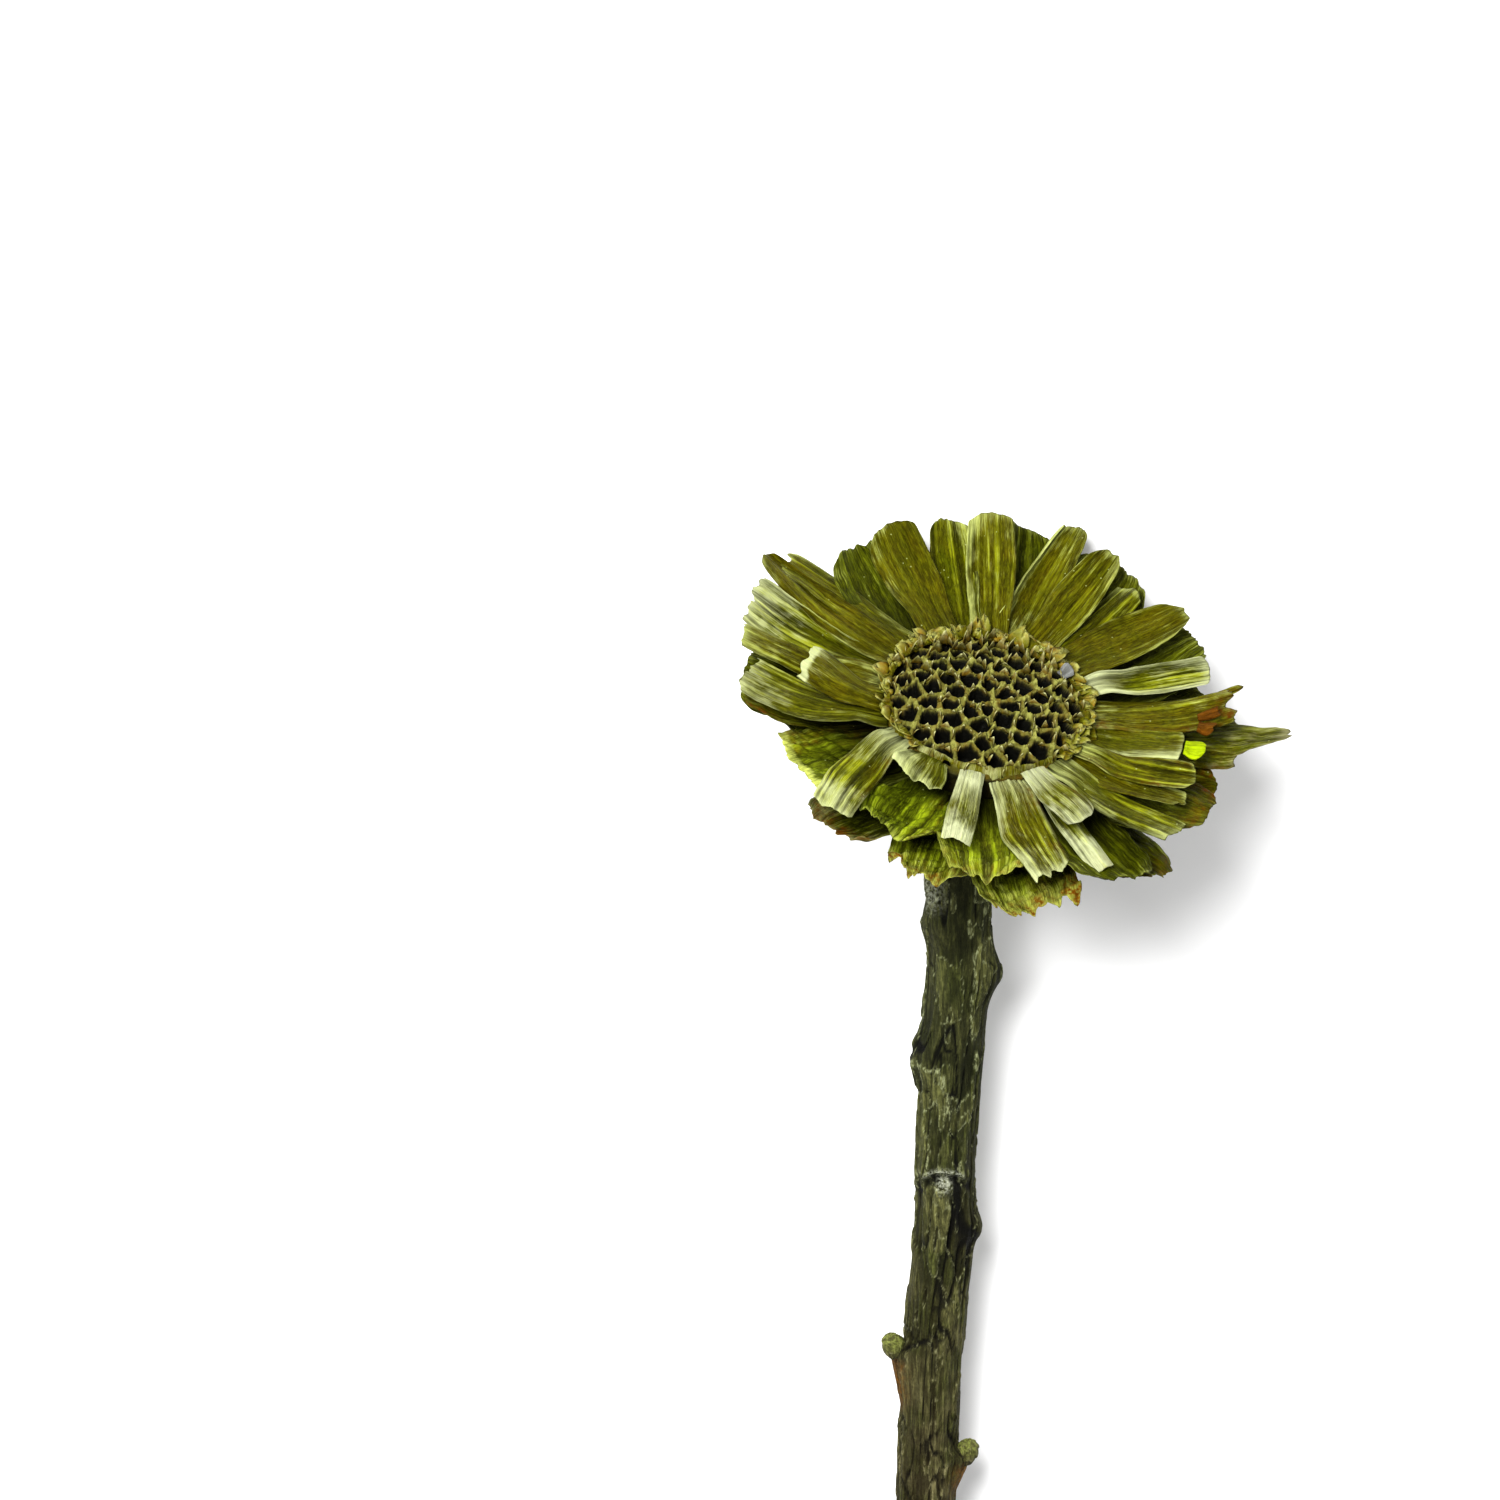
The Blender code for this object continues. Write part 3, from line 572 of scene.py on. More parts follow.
BACK = [
    (15, 38.4, 16.0, 0.55, 0.5, dict()), (44, 39.6, 16.2, 0.55, 0.4, dict()), (75, 39.4, 16.2, 0.55, 0.5, dict()),
    (105, 39.6, 16.4, 0.55, 0.4, dict()), (136, 38.2, 16.0, 0.55, 0.5, dict()), (166, 38.4, 15.8, 0.55, 0.4, dict()),
    (195, 30.5, 14.6, 0.55, 0.4, dict(pale_left=0.3)),
    (225, 34.4, 14.6, 0.55, 0.6, dict(brown_tip=0.9, pale_tip=0.3, grey=0.7, tear=0.03)),
    (255, 34.8, 14.6, 0.65, 0.5, dict(deep=0.9, stripes=0.7, pale_tip=0.5, brown_tip=0.8, crease=0.8, tear=0.06)),
    (282, 40.4, 17.0, 0.65, 0.6, dict(deep=0.9, stripes=0.6, pale_tip=0.55, brown_left=0.9, brown_tip=0.9, crease=0.8,
        tear=0.06)),
    (314, 39.4, 16.2, 0.55, 0.6, dict(brown_tip=0.4)), (345, 38.4, 15.6, 0.55, 0.6, dict(brown_tip=0.5)),
]
# the wide bracts get painted shade over most of their length, strongest at the foot where the inner bracts hide them
WIDE_LOOK = dict(
    cup=0.25, lift=0.0, ruffle=0.8, tear=0.012, ribs=0.08, crease=0.12, thickness=0.5, base_share=0.64, point=2.0,
    stripes=0.35, pale_tip=0.08, pale_left=0.1, pale_right=0.1, deep=0.95, shade_to=0.85, round=2.0, folds=0.4)
LIME = {("outer", 8), ("outer", 9), ("outer", 10), ("back", 9), ("back", 10)}
for rank, bracts, first_seed in (("outer", OUTER, 101), ("back", BACK, 201)):
    for number, (angle, reach, width, tip_share, tone, look) in enumerate(bracts, 1):
        spot = dict(base=angle, tip=angle, reach=reach, width=width, tip_share=tip_share, tone=tone, rank=rank)
        finish = TISSUE["lime_bract" if (rank, number) in LIME else "outer_bract"]
        make_bract(
            f"ruffled_{rank}_bract_{number:02d}", {**WIDE_LOOK, **spot, **look}, first_seed + number, 84, 61, finish,
            "outer_bract", [f"{rank}_bract_{number:02d}"])
torn_strip = dict(
    base=9, tip=13, reach=42.2, width=1.7, tip_share=0.5, rank="outer", lift=0.4, tone=0.5, brown_tip=0.4, ruffle=0.15,
    round=0.5)
make_bract(
    "torn_strip", {**WIDE_LOOK, **torn_strip}, 190, 60, 15, TISSUE["outer_bract"], "outer_bract", ["outer_bract_01"])
BIT_LOOK = dict(tip_share=0.7, ruffle=0.2, ribs=0.03, folds=0.4, base_share=0.7, stripes=0.1, deep=0.0)
BITS = [
    ("lilac_chip", "lilac_chip",
     dict(base=30, tip=32, reach=16.2, width=2.8, rank="chip", tone=0.6, round=0.6, cup=-0.6, tear=0.12)),
    ("lime_fleck", "lime_fleck",
     dict(base=-11, tip=-11, reach=34.9, width=4.6, rank="fleck", tone=0.8, round=0.9, cup=-0.1)),
    ("rust_flake_1", "rust_flake",
     dict(base=-3.4, tip=-4.2, reach=36.0, width=3.4, rank="rust", tone=0.35, round=0.8, cup=-0.6, tear=0.10)),
    ("rust_flake_2", "rust_flake",
     dict(base=0.0, tip=0.6, reach=37.2, width=2.0, rank="rust", tone=0.5, round=0.4, lift=0.7, tear=0.12)),
]
for seed, (name, finish, look) in enumerate(BITS, 301):
    make_bract(name, {**WIDE_LOOK, **BIT_LOOK, **look}, seed, 30, 21, TISSUE[finish], "outer_bract", [])
print("wide bracts:", len(OUTER) + len(BACK), "small bits:", 1 + len(BITS))

# %% [markdown]
# ## The disc of sockets
# Once the small flowers have dropped out, a protea's disc is a honeycomb. The sockets sit on a sunflower spiral:
# each is turned by the golden angle from the last and a little further out. For every point of the disc, the nearest
# three sockets are found. Close to one it is a pit, half-way between two it is a wall, and where three meet, a peak.
# The pits, and a band just under the rim, are painted almost black as shade.

# %% The honeycomb
SOCKET_STEP = 1.82
SOCKETS = 84
number = np.arange(SOCKETS) + 0.6
socket_angle = number * math.pi * (3 - math.sqrt(5))
socket_reach = SOCKET_STEP * np.sqrt(number)
wobble = np.random.default_rng(5).uniform(-0.5, 0.5, (2, SOCKETS))
socket_x = socket_reach * np.cos(socket_angle) + wobble[0]
socket_y = socket_reach * np.sin(socket_angle) + wobble[1]
socket_small = np.random.default_rng(6).uniform(0, 0.5, SOCKETS)
DISC_EDGE = 16.0
# the receptacle's outline from the middle of its face to its foot: distance from the axis and height, in mm
RECEPTACLE = np.array([
    (0.0, 2.2), (6.0, 1.9), (11.5, 1.1), (15.0, 0.0), (16.8, -1.0), (16.8, -4.4), (15.6, -6.9), (12.7, -10.2),
    (9.0, -13.8), (6.4, -18.0)])


def honeycomb(rows=214, columns=440):
    """The receptacle: its outline turned round the axis, with pits, walls and peaks raised on the face."""
    length = np.concatenate([[0], np.cumsum(np.hypot(*np.diff(RECEPTACLE, axis=0).T))])
    face = np.linspace(0.12, 17.6, int(rows * 0.84))
    where = np.concatenate([face, np.linspace(17.8, length[-1], rows - len(face))])[:, None]
    turn = np.linspace(0, 2 * math.pi, columns, endpoint=False)[None, :]
    distance = np.interp(where, length, RECEPTACLE[:, 0]) + 0 * turn
    height = np.interp(where, length, RECEPTACLE[:, 1]) + 0 * turn
    x, y = distance * np.cos(turn), distance * np.sin(turn)
    gaps = np.hypot(x[..., None] - socket_x, y[..., None] - socket_y)
    near = np.partition(gaps + socket_small, 3, axis=-1)[..., :4]
    near.sort(axis=-1)
    inside = step(0, 1, (16.3 - where) / 0.9)
    ripple = rough(x * 1.3, y * 1.3, 41, 3)
    gap = near[..., 1] - near[..., 0] + 0.45 * ripple
    wall = 1 - step(0.25, 1.2, gap)
    peak = 1 - step(0.0, 1.2, near[..., 2] - near[..., 0] + 0.3 * ripple)
    pit = step(0.48, 0.92, gap)
    relief = (0.15 + 0.9 * ripple) * wall + (0.35 + 1.2 * ripple) * peak - 2.8 * step(0.65, 1.7, gap) + 0.1
    relief = relief * inside + 0.12 * rough(turn * 30 / math.pi + 0 * where, where / 3 + 0 * turn, 43, 3, 60)
    height = height + relief * step(0, 1, (19 - where) / 3)
    distance = distance + 0.25 * relief * inside * distance / 17
    points = head_point(distance, turn + 0 * where, height)
    # painted shade: the pits, and a band just under the rim for the shadowed gap where the bracts meet the disc
    under_rim = step(16.6, 17.6, where) * (1 - step(21, 25, where))
    masks = {"pit": pit * inside + 0.85 * under_rim, "peak": np.clip(wall * 0.35 + peak * 0.8, 0, 1) * inside}
    return points, masks


def closed_tube(points, masks):
    """A grid that closes on itself round its columns, with a point at each end to shut it."""
    rows, columns = points.shape[:2]
    ids = np.arange(rows * columns).reshape(rows, columns)
    ring = np.concatenate([ids, ids[:, :1]], axis=1)
    faces = quads_of(ring).tolist()
    first, last = rows * columns, rows * columns + 1
    faces += np.stack([np.full(columns, first), ring[0, :-1], ring[0, 1:]], axis=-1).tolist()
    faces += np.stack([np.full(columns, last), ring[-1, 1:], ring[-1, :-1]], axis=-1).tolist()
    ends = np.stack([points[0].mean(axis=0), points[-1].mean(axis=0)])
    full = {name: np.broadcast_to(mask, (rows, columns)) for name, mask in masks.items()}
    flat = {name: np.concatenate([mask.ravel(), [mask[0].mean(), mask[-1].mean()]]) for name, mask in full.items()}
    return np.concatenate([points.reshape(-1, 3), ends]), faces, flat


def seed_head_finish(name, dark, wall, tip, rim, roughness):
    """Painted shade almost black in pits and at scale feet, walls olive-tan, tips pale; papery and matt."""
    made, tree, shader, mask = new_material(name, specular=0.15)
    patch = use(tree, blotches, Size=2.6, Low=0.4, High=0.65)
    small = use(tree, blotches, Size=0.7, Low=0.4, High=0.65)
    face = mixed(patch, wall, rim)
    face = mixed(times(small, 0.5), face, dark)
    face = mixed(times(mask("peak"), plus(0.45, small), clamp=True), face, tip)
    # painted shade, almost black: in the pits, under the rim, and at the feet of the scales and tabs
    face = mixed(mask("pit"), face, (0.002, 0.002, 0.0005))
    surface(shader, face, roughness, small, strength=0.5, distance=0.0002)
    return made


SEED_FINISH = seed_head_finish(
    "seed_head", dark=(0.008, 0.006, 0.0002), wall=(0.056, 0.051, 0.0006), tip=(0.24, 0.24, 0.06),
    rim=(0.100, 0.060, 0.0008), roughness=0.7)
disc = make_piece("seed_disc", *closed_tube(*honeycomb()), SEED_FINISH, "receptacle", ["receptacle"])
print("sockets:", SOCKETS, "disc faces:", len(disc.data.polygons))

# %% [markdown]
# ## The papery scales and the ring of tabs
# Each socket has pointed, papery scales beside it, standing up like small flames, and the disc ends in a ring of
# blunt amber tabs. All the scales are one array: one small leaf grid, placed, turned and scaled for every scale at
# once, because a few hundred separate objects would say nothing more. A torn skin hangs from the disc's edge.

# %% Scales and tabs
def leaflets(angle, distance, height, length, width, lean, turn, thickness, rows, columns, bend, blunt, ragged):
    """Many small leaves at once: each grows from its foot, leans out from the axis, and bends over towards its tip."""
    count = len(angle)
    t = np.linspace(0, 1, rows)[None, :, None]
    s = np.linspace(-1, 1, columns)[None, None, :]
    ones = np.ones((count, rows, columns))
    long, wide, tilt = (v[:, None, None] for v in (length, width, lean))
    half = 0.5 * wide * np.clip(1 - t ** blunt, 0, 1) ** (1 / blunt) * (0.75 + 0.25 * step(0, 0.4, t)) + 0.03
    tilt = tilt + bend * t
    which = np.arange(count)[:, None, None]
    long = long * (1 - ragged * np.abs(noise(s * 2.6 + 5.0 * which, 0 * s + 1.7 * which, 45)))
    rise = np.cumsum(np.cos(tilt) * long / (rows - 1) * ones, axis=1)
    out = np.cumsum(np.sin(tilt) * long / (rows - 1) * ones, axis=1)
    cup = 0.35 * half * s**2
    out = out - out[:, :1] - cup * np.cos(tilt)
    rise = rise - rise[:, :1] + cup * np.sin(tilt)
    across = half * s
    face = turn[:, None, None]
    outward = out * np.cos(face) - across * np.sin(face)
    tangent = out * np.sin(face) + across * np.cos(face)
    a = angle[:, None, None]
    x = (distance[:, None, None] + outward) * np.cos(a) - tangent * np.sin(a)
    y = (distance[:, None, None] + outward) * np.sin(a) + tangent * np.cos(a)
    z = height[:, None, None] + rise
    middle = x[..., None] * HEAD_RIGHT + y[..., None] * HEAD_UP + z[..., None] * HEAD_AXIS
    push = unit(np.cross(np.gradient(middle, axis=2), np.gradient(middle, axis=1))) * thickness / 2
    push[:, 0], push[:, -1], push[:, :, 0], push[:, :, -1] = 0, 0, 0, 0
    front = (middle + push).reshape(count, -1, 3)
    behind = (middle - push)[:, 1:-1, 1:-1].reshape(count, -1, 3)
    each = rows * columns + (rows - 2) * (columns - 2)
    faces = sheet_faces(rows, columns)[:, ::-1]
    faces = (faces[None] + each * np.arange(count)[:, None, None]).reshape(-1, 4)
    grow = np.broadcast_to(t, ones.shape)
    peak = np.concatenate([grow.reshape(count, -1), grow[:, 1:-1, 1:-1].reshape(count, -1)], axis=1).ravel()
    return np.concatenate([front, behind], axis=1).reshape(-1, 3), faces, peak


def dome(distance):
    """Height of the disc's crown at a distance from its axis."""
    return np.interp(distance, RECEPTACLE[:5, 0], RECEPTACLE[:5, 1])


random = np.random.default_rng(8)
SCALES_EACH = 3
which = np.repeat(np.arange(SCALES_EACH), SOCKETS)
facing = np.choose(which, (math.pi / 2, math.pi / 2 - 1.1, math.pi / 2 + 1.1)) + random.uniform(-0.45, 0.45, len(which))
stand = random.uniform(1.45, 1.75, len(which))
scale_x = np.tile(socket_x, SCALES_EACH) + stand * np.cos(facing)
scale_y = np.tile(socket_y, SCALES_EACH) + stand * np.sin(facing)
kept = (np.hypot(scale_x, scale_y) < 16.4) & (random.uniform(0, 1, len(which)) < np.choose(which, (1.0, 0.75, 0.75)))
scale_x, scale_y, facing = scale_x[kept], scale_y[kept], facing[kept]
angle, reach = np.arctan2(scale_y, scale_x), np.hypot(scale_x, scale_y)
tall = 1.25 + 1.7 * step(-3, 13, scale_y) + 0.3 * step(9, 16, reach)
points, faces, peak = leaflets(
    angle, reach, dome(reach) - 0.3, length=random.uniform(0.5, 1.25, len(reach)) * tall + 0.3,
    width=random.uniform(1.2, 2.9, len(reach)), lean=random.uniform(-0.25, 0.5, len(reach)),
    turn=facing - angle, thickness=0.14, rows=7, columns=5, bend=-0.45, blunt=1.05, ragged=0.3)
SCALE_FINISH = seed_head_finish(
    "papery_scale", dark=(0.012, 0.009, 0.0003), wall=(0.080, 0.066, 0.001), tip=(0.44, 0.44, 0.21),
    rim=(0.15, 0.085, 0.001), roughness=0.55)
# painted shade near each scale's foot, pale towards its tip
masks = {"peak": peak**2.6, "pit": 0.8 * np.clip(1 - peak / 0.45, 0, 1)}
make_piece("papery_scales", points, faces, masks, SCALE_FINISH, "receptacle")

TABS = 72
tab_angle = np.linspace(-0.75, math.pi + 0.75, TABS) + random.uniform(-0.04, 0.04, TABS)
behind = step(-0.5, 0.6, np.sin(tab_angle))
tab_reach = 15.0 + 0.9 * (np.arange(TABS) % 2) + random.uniform(-0.3, 0.3, TABS)
points, faces, peak = leaflets(
    tab_angle, tab_reach, -0.1 + random.uniform(-0.3, 0.3, TABS),
    length=random.uniform(1.0, 3.4, TABS) * (0.8 + 0.4 * behind), width=random.uniform(1.6, 4.6, TABS),
    lean=random.uniform(0.5, 1.5, TABS) - 0.2 * behind, turn=random.uniform(-0.9, 0.9, TABS), thickness=0.16, rows=9,
    columns=7, bend=0.2, blunt=2.0, ragged=0.8)
TAB_FINISH = seed_head_finish(
    "amber_tab", dark=(0.035, 0.030, 0.0008), wall=(0.130, 0.130, 0.002), tip=(0.34, 0.34, 0.10),
    rim=(0.20, 0.110, 0.002), roughness=0.45)
# painted shade near each tab's foot, pale towards its tip
masks = {"peak": peak**3, "pit": 0.7 * np.clip(1 - peak / 0.3, 0, 1)}
make_piece("amber_tabs", points, faces, masks, TAB_FINISH, "receptacle")


def rim_skin(rows=22, columns=420):
    """A torn skin round the disc: its reach and droop are periodic noise of the angle, more of both at the front."""
    t = np.linspace(0, 1, rows)[:, None]
    turn = np.linspace(0, 2 * math.pi, columns)[None, :]
    cells = turn / (2 * math.pi)
    front = step(0.1, 0.85, -np.sin(turn))
    ragged = ring(cells, 26, 0, 71) + 0.6 * ring(cells, 75, 0, 72) + 0.4 * ring(cells, 190, 0, 73)
    long = 1.5 + 1.0 * ragged + front * (3.0 + 1.2 * ragged + 2.2 * ring(cells, 17, 0, 74))
    long = np.clip(long, 0.35, None) * t
    dip = 0.15 + 0.45 * front + 0.45 * ring(cells, 34, t * 1.5, 75) + 0.9 * t * front
    distance = 14.9 + long * np.cos(dip)
    frill = 0.55 * t * ring(cells, 60, t * 2.0, 76) + 0.25 * ring(cells, 130, t * 3.0, 77)
    height = 0.35 - long * np.sin(dip) + frill + 0.3 * t * (1 - front)
    patchy = 0.5 + 0.8 * ring(cells, 40, t * 2, 78, 3)
    pale = 0.36 * front * patchy + (0.25 + 0.4 * patchy) * t**5 * step(0.3, 0.7, patchy) + 0.10 * patchy
    masks = {
        "along": long, "across": turn * DISC_EDGE, "seed": 5.3, "pale": pale,
        "brown": (0.5 - 0.2 * front) * patchy, "tone": np.clip(0.7 + 0.5 * (patchy - 0.5), 0, 1),
        "crest": np.clip(patchy, 0, 1), "stripes": 0.3, "grey": 0.6 * front,
        # painted shade at the skin's root, except at the front
        "deep": 0.5 * (1 - step(0.0, 0.25, t)) * (1 - front),
    }
    return head_point(distance + 0 * t, turn + 0 * t, height), 0.14 + 0 * t * turn, masks


make_piece("rim_skin", *two_sided(*rim_skin()), TISSUE["inner_bract"], "inner_bract")
print("scales:", len(reach), "tabs:", TABS)

# %% [markdown]
# ## The stem
# The stem is a circle carried down a gently bent line, with the bark as the circle's roughness: long ridges that
# start and stop, thin plates with lifted edges, and swellings where leaves once joined. A ridge tapers away below
# each bud, an old scar faces the viewer, and the foot is a clean cut with growth rings.

# %% The stem's line and its bark
# the stem's middle line from the head down: x, y and z, then its radius, in mm
STEM_LINE = np.array([
    (-2.2, 9.4, -16.0, 6.2), (-2.9, 12.6, -21.5, 5.9), (-3.3, 15.4, -28.0, 5.5), (-3.4, 17.2, -36.0, 5.5),
    (-3.2, 18.4, -46.0, 5.4), (-4.2, 19.4, -60.0, 5.2), (-5.1, 20.2, -75.0, 5.0), (-5.2, 21.4, -90.0, 4.9),
    (-6.7, 22.8, -106.0, 4.9), (-7.8, 23.4, -130.0, 4.9), (-8.4, 24.6, -156.0, 4.8), (-7.2, 26.4, -184.0, 4.8),
    (-5.4, 27.4, -212.0, 4.8), (-6.6, 29.0, -240.0, 4.9), (-9.4, 30.4, -270.0, 5.0)])
# each knot: how far down, which side in degrees, how proud and how long, in mm
KNOTS = [
    (39, 190, 0.8, 4.0), (47.6, 0, 1.7, 4.8), (61, 180, 1.7, 5.8), (80, 262, 1.1, 4.0), (90, 352, 1.3, 3.5),
    (148, 220, 1.5, 5.0), (171, 40, 1.4, 5.0), (193, 160, 1.6, 6.0), (218, 300, 1.4, 5.0), (241, 100, 1.2, 5.0)]
STEM_RADIUS, SCAR_SIDE, SCAR_DROP, CHALK_SIDE = 5.0, 266, 79.4, 205
BUDS = [("upper", 110.5, 184, 9.0), ("lower", 128.0, 356, 6.0)]


def smooth_line(given, count):
    """Catmull-Rom: a curve through every given row, each span bent by the rows on either side of it."""
    padded = np.vstack([2 * given[0] - given[1], given, 2 * given[-1] - given[-2]])
    where = np.linspace(0, len(given) - 1, count)
    index = np.minimum(where.astype(int), len(given) - 2)
    t = (where - index)[:, None]
    a, b, c, d = (padded[index + k] for k in range(4))
    return 0.5 * (2 * b + (c - a) * t + (2 * a - 5 * b + 4 * c - d) * t**2 + (3 * b - a - 3 * c + d) * t**3)


def stem_surface(rows=540, columns=168, cap=12):
    """The bark: radius = the line's radius + knots + fibres + plates - cracks; then rings closing over the cut."""
    line = smooth_line(STEM_LINE, rows)
    turn = np.linspace(0, 2 * math.pi, columns, endpoint=False)[None, :]
    drop = -line[:, 2:3]
    angle = turn + 0 * drop
    radius = line[:, 3:4] - 0.42 + 0 * angle
    swell = 0 * angle
    for at, side, tall, long in KNOTS:
        facing = np.clip(np.cos(turn - math.radians(side)), 0, 1)
        swell = swell + tall * np.exp(-2 * ((drop - at) / long) ** 2) * facing**2
    rusty = 0 * angle
    for _, at, side, long in BUDS:
        facing = np.clip(np.cos(turn - math.radians(side)), 0, 1)
        below = drop - at - 0.5
        ramp = step(-2.0, 0.5, below) * np.clip(1 - below / long, 0, 1)
        swell = swell + 2.4 * ramp * facing**5
        rusty = rusty + step(0.5, 2.0, below) * (1 - step(long - 2, long + 2, below)) * facing**8
    cells = angle / (2 * math.pi)
    drift = 0.16 * ring(cells, 6, drop / 12, 51, 3)
    broad = ring(cells, 7, drop / 13, 54, 3, drift)
    slim = ring(cells, 14, drop / 8, 55, 3, drift)
    plate = 0.30 * step(0.00, 0.05, broad) + 0.22 * step(0.06, 0.10, slim)
    lifted = step(0.01, 0.03, broad) * (1 - step(0.04, 0.08, broad))
    lifted = lifted + 0.8 * step(0.06, 0.08, slim) * (1 - step(0.09, 0.13, slim))
    ridge = 0.13 * (1 - 2 * np.abs(ring(cells, 22, drop / 13, 52, 1, drift)))
    ridge = ridge + 0.09 * (1 - 2 * np.abs(ring(cells, 44, drop / 7, 53, 1, drift)))
    fibre = 0.08 * ring(cells, 70, drop / 4, 56)
    split = ring(cells, 10, drop / 17, 57, 1, drift)
    fork = ring(cells, 19, drop / 7, 59, 1, drift)
    crack = np.maximum(1 - step(0.012, 0.06, np.abs(split)), 0.7 * (1 - step(0.01, 0.07, np.abs(fork))))
    crack = crack * step(-0.35, 0.05, ring(cells, 6, drop / 9, 61))
    crack = np.maximum(crack, 0.8 * (1 - step(0.01, 0.06, np.abs(ring(cells, 15, drop / 24, 63, 1, drift)))))
    facing = np.clip(np.cos(turn - math.radians(CHALK_SIDE)), 0, 1)
    crumb = 0.7 * step(30, 32, drop) * (1 - step(34, 38, drop)) * facing**7
    crumbs = crumb * ring(cells, 30, drop / 1.1, 60, 3)
    bark = ridge + plate + fibre - 0.42 * crack + 0.9 * crumbs

    # the scar facing the viewer: an arched lip over two hollows, painted dark as shade, with rubble between
    across = (np.mod(turn - math.radians(SCAR_SIDE) + math.pi, 2 * math.pi) - math.pi) * STEM_RADIUS
    arc = drop - SCAR_DROP - 0.12 * across**2
    wide = 1 - step(2.9, 3.7, np.abs(across))
    lip = np.exp(-((arc + 0.2) / 0.35) ** 2) * wide
    hollow = np.exp(-((arc - 1.0) / 0.8) ** 2) * wide * (0.35 + 0.65 * step(0.5, 1.2, np.abs(across)))
    rubble = np.exp(-((arc - 2.0) / 1.4) ** 2) * (1 - step(0.5, 1.8, np.abs(across)))
    radius = radius + swell + bark + 0.45 * lip - 1.0 * hollow + 0.35 * rubble * ring(cells, 50, drop * 1.6, 62)

    fade = np.linspace(1, 0, cap + 1)[1:, None]
    rings = 0.10 * np.sin(fade * 5.0 * 2 * math.pi) + 0.10 * ring(cells[:cap], 40, fade * 6, 58)
    cap_radius = radius[-1:] * (0.02 + 0.98 * fade)
    centre = np.concatenate([line[:, :3], np.repeat(line[-1:, :3], cap, axis=0)])
    centre = np.repeat(centre[:, None], columns, axis=1)
    spread = np.concatenate([radius, cap_radius])
    side = np.stack([np.cos(turn), np.sin(turn), 0 * turn], axis=-1)
    points = centre + spread[..., None] * side
    points[rows:, :, 2] -= rings * step(0, 0.15, 1 - fade)

    def whole(bark_values, cut_values):
        """One mask for the bark's rows and the cut's."""
        return np.concatenate([bark_values + 0 * angle, cut_values + 0 * fade + 0 * turn])

    masks = {
        # painted shade: crack darkens the cracks and the scar's hollows, and the bark's height darkens its furrows
        "high": whole(bark, 0.3), "crack": whole(np.clip(crack + 1.2 * hollow, 0, 1), 0), "wood": whole(0, 1),
        "drop": whole(drop, drop[-1]), "ring": whole(0, fade), "edge": whole(np.clip(lifted, 0, 1), 0),
        "rusty": whole(np.clip(rusty, 0, 1), 0), "sprout": whole(0, 0),
        "chalk": whole(np.clip(0.6 * lip + 0.8 * crumb + 0.8 * rubble, 0, 1), 0),
    }
    return points[::-1], {name: mask[::-1] for name, mask in masks.items()}


fibres, given, out = new_group("fibres", Width=0.5, Stretch=8.0, Low=0.4, High=0.6)
finer = in_cells(fibres, given["Width"])
squash = add(fibres, "CombineXYZ", {"X": 1.0, "Y": sums("DIVIDE", 1.0, given["Stretch"]), "Z": 1.0})
drawn = add(fibres, "VectorMath", {0: finer, 1: squash.outputs[0]}, operation="MULTIPLY")
cloud(fibres, given, out, drawn.outputs[0], 3.0, 0.6)


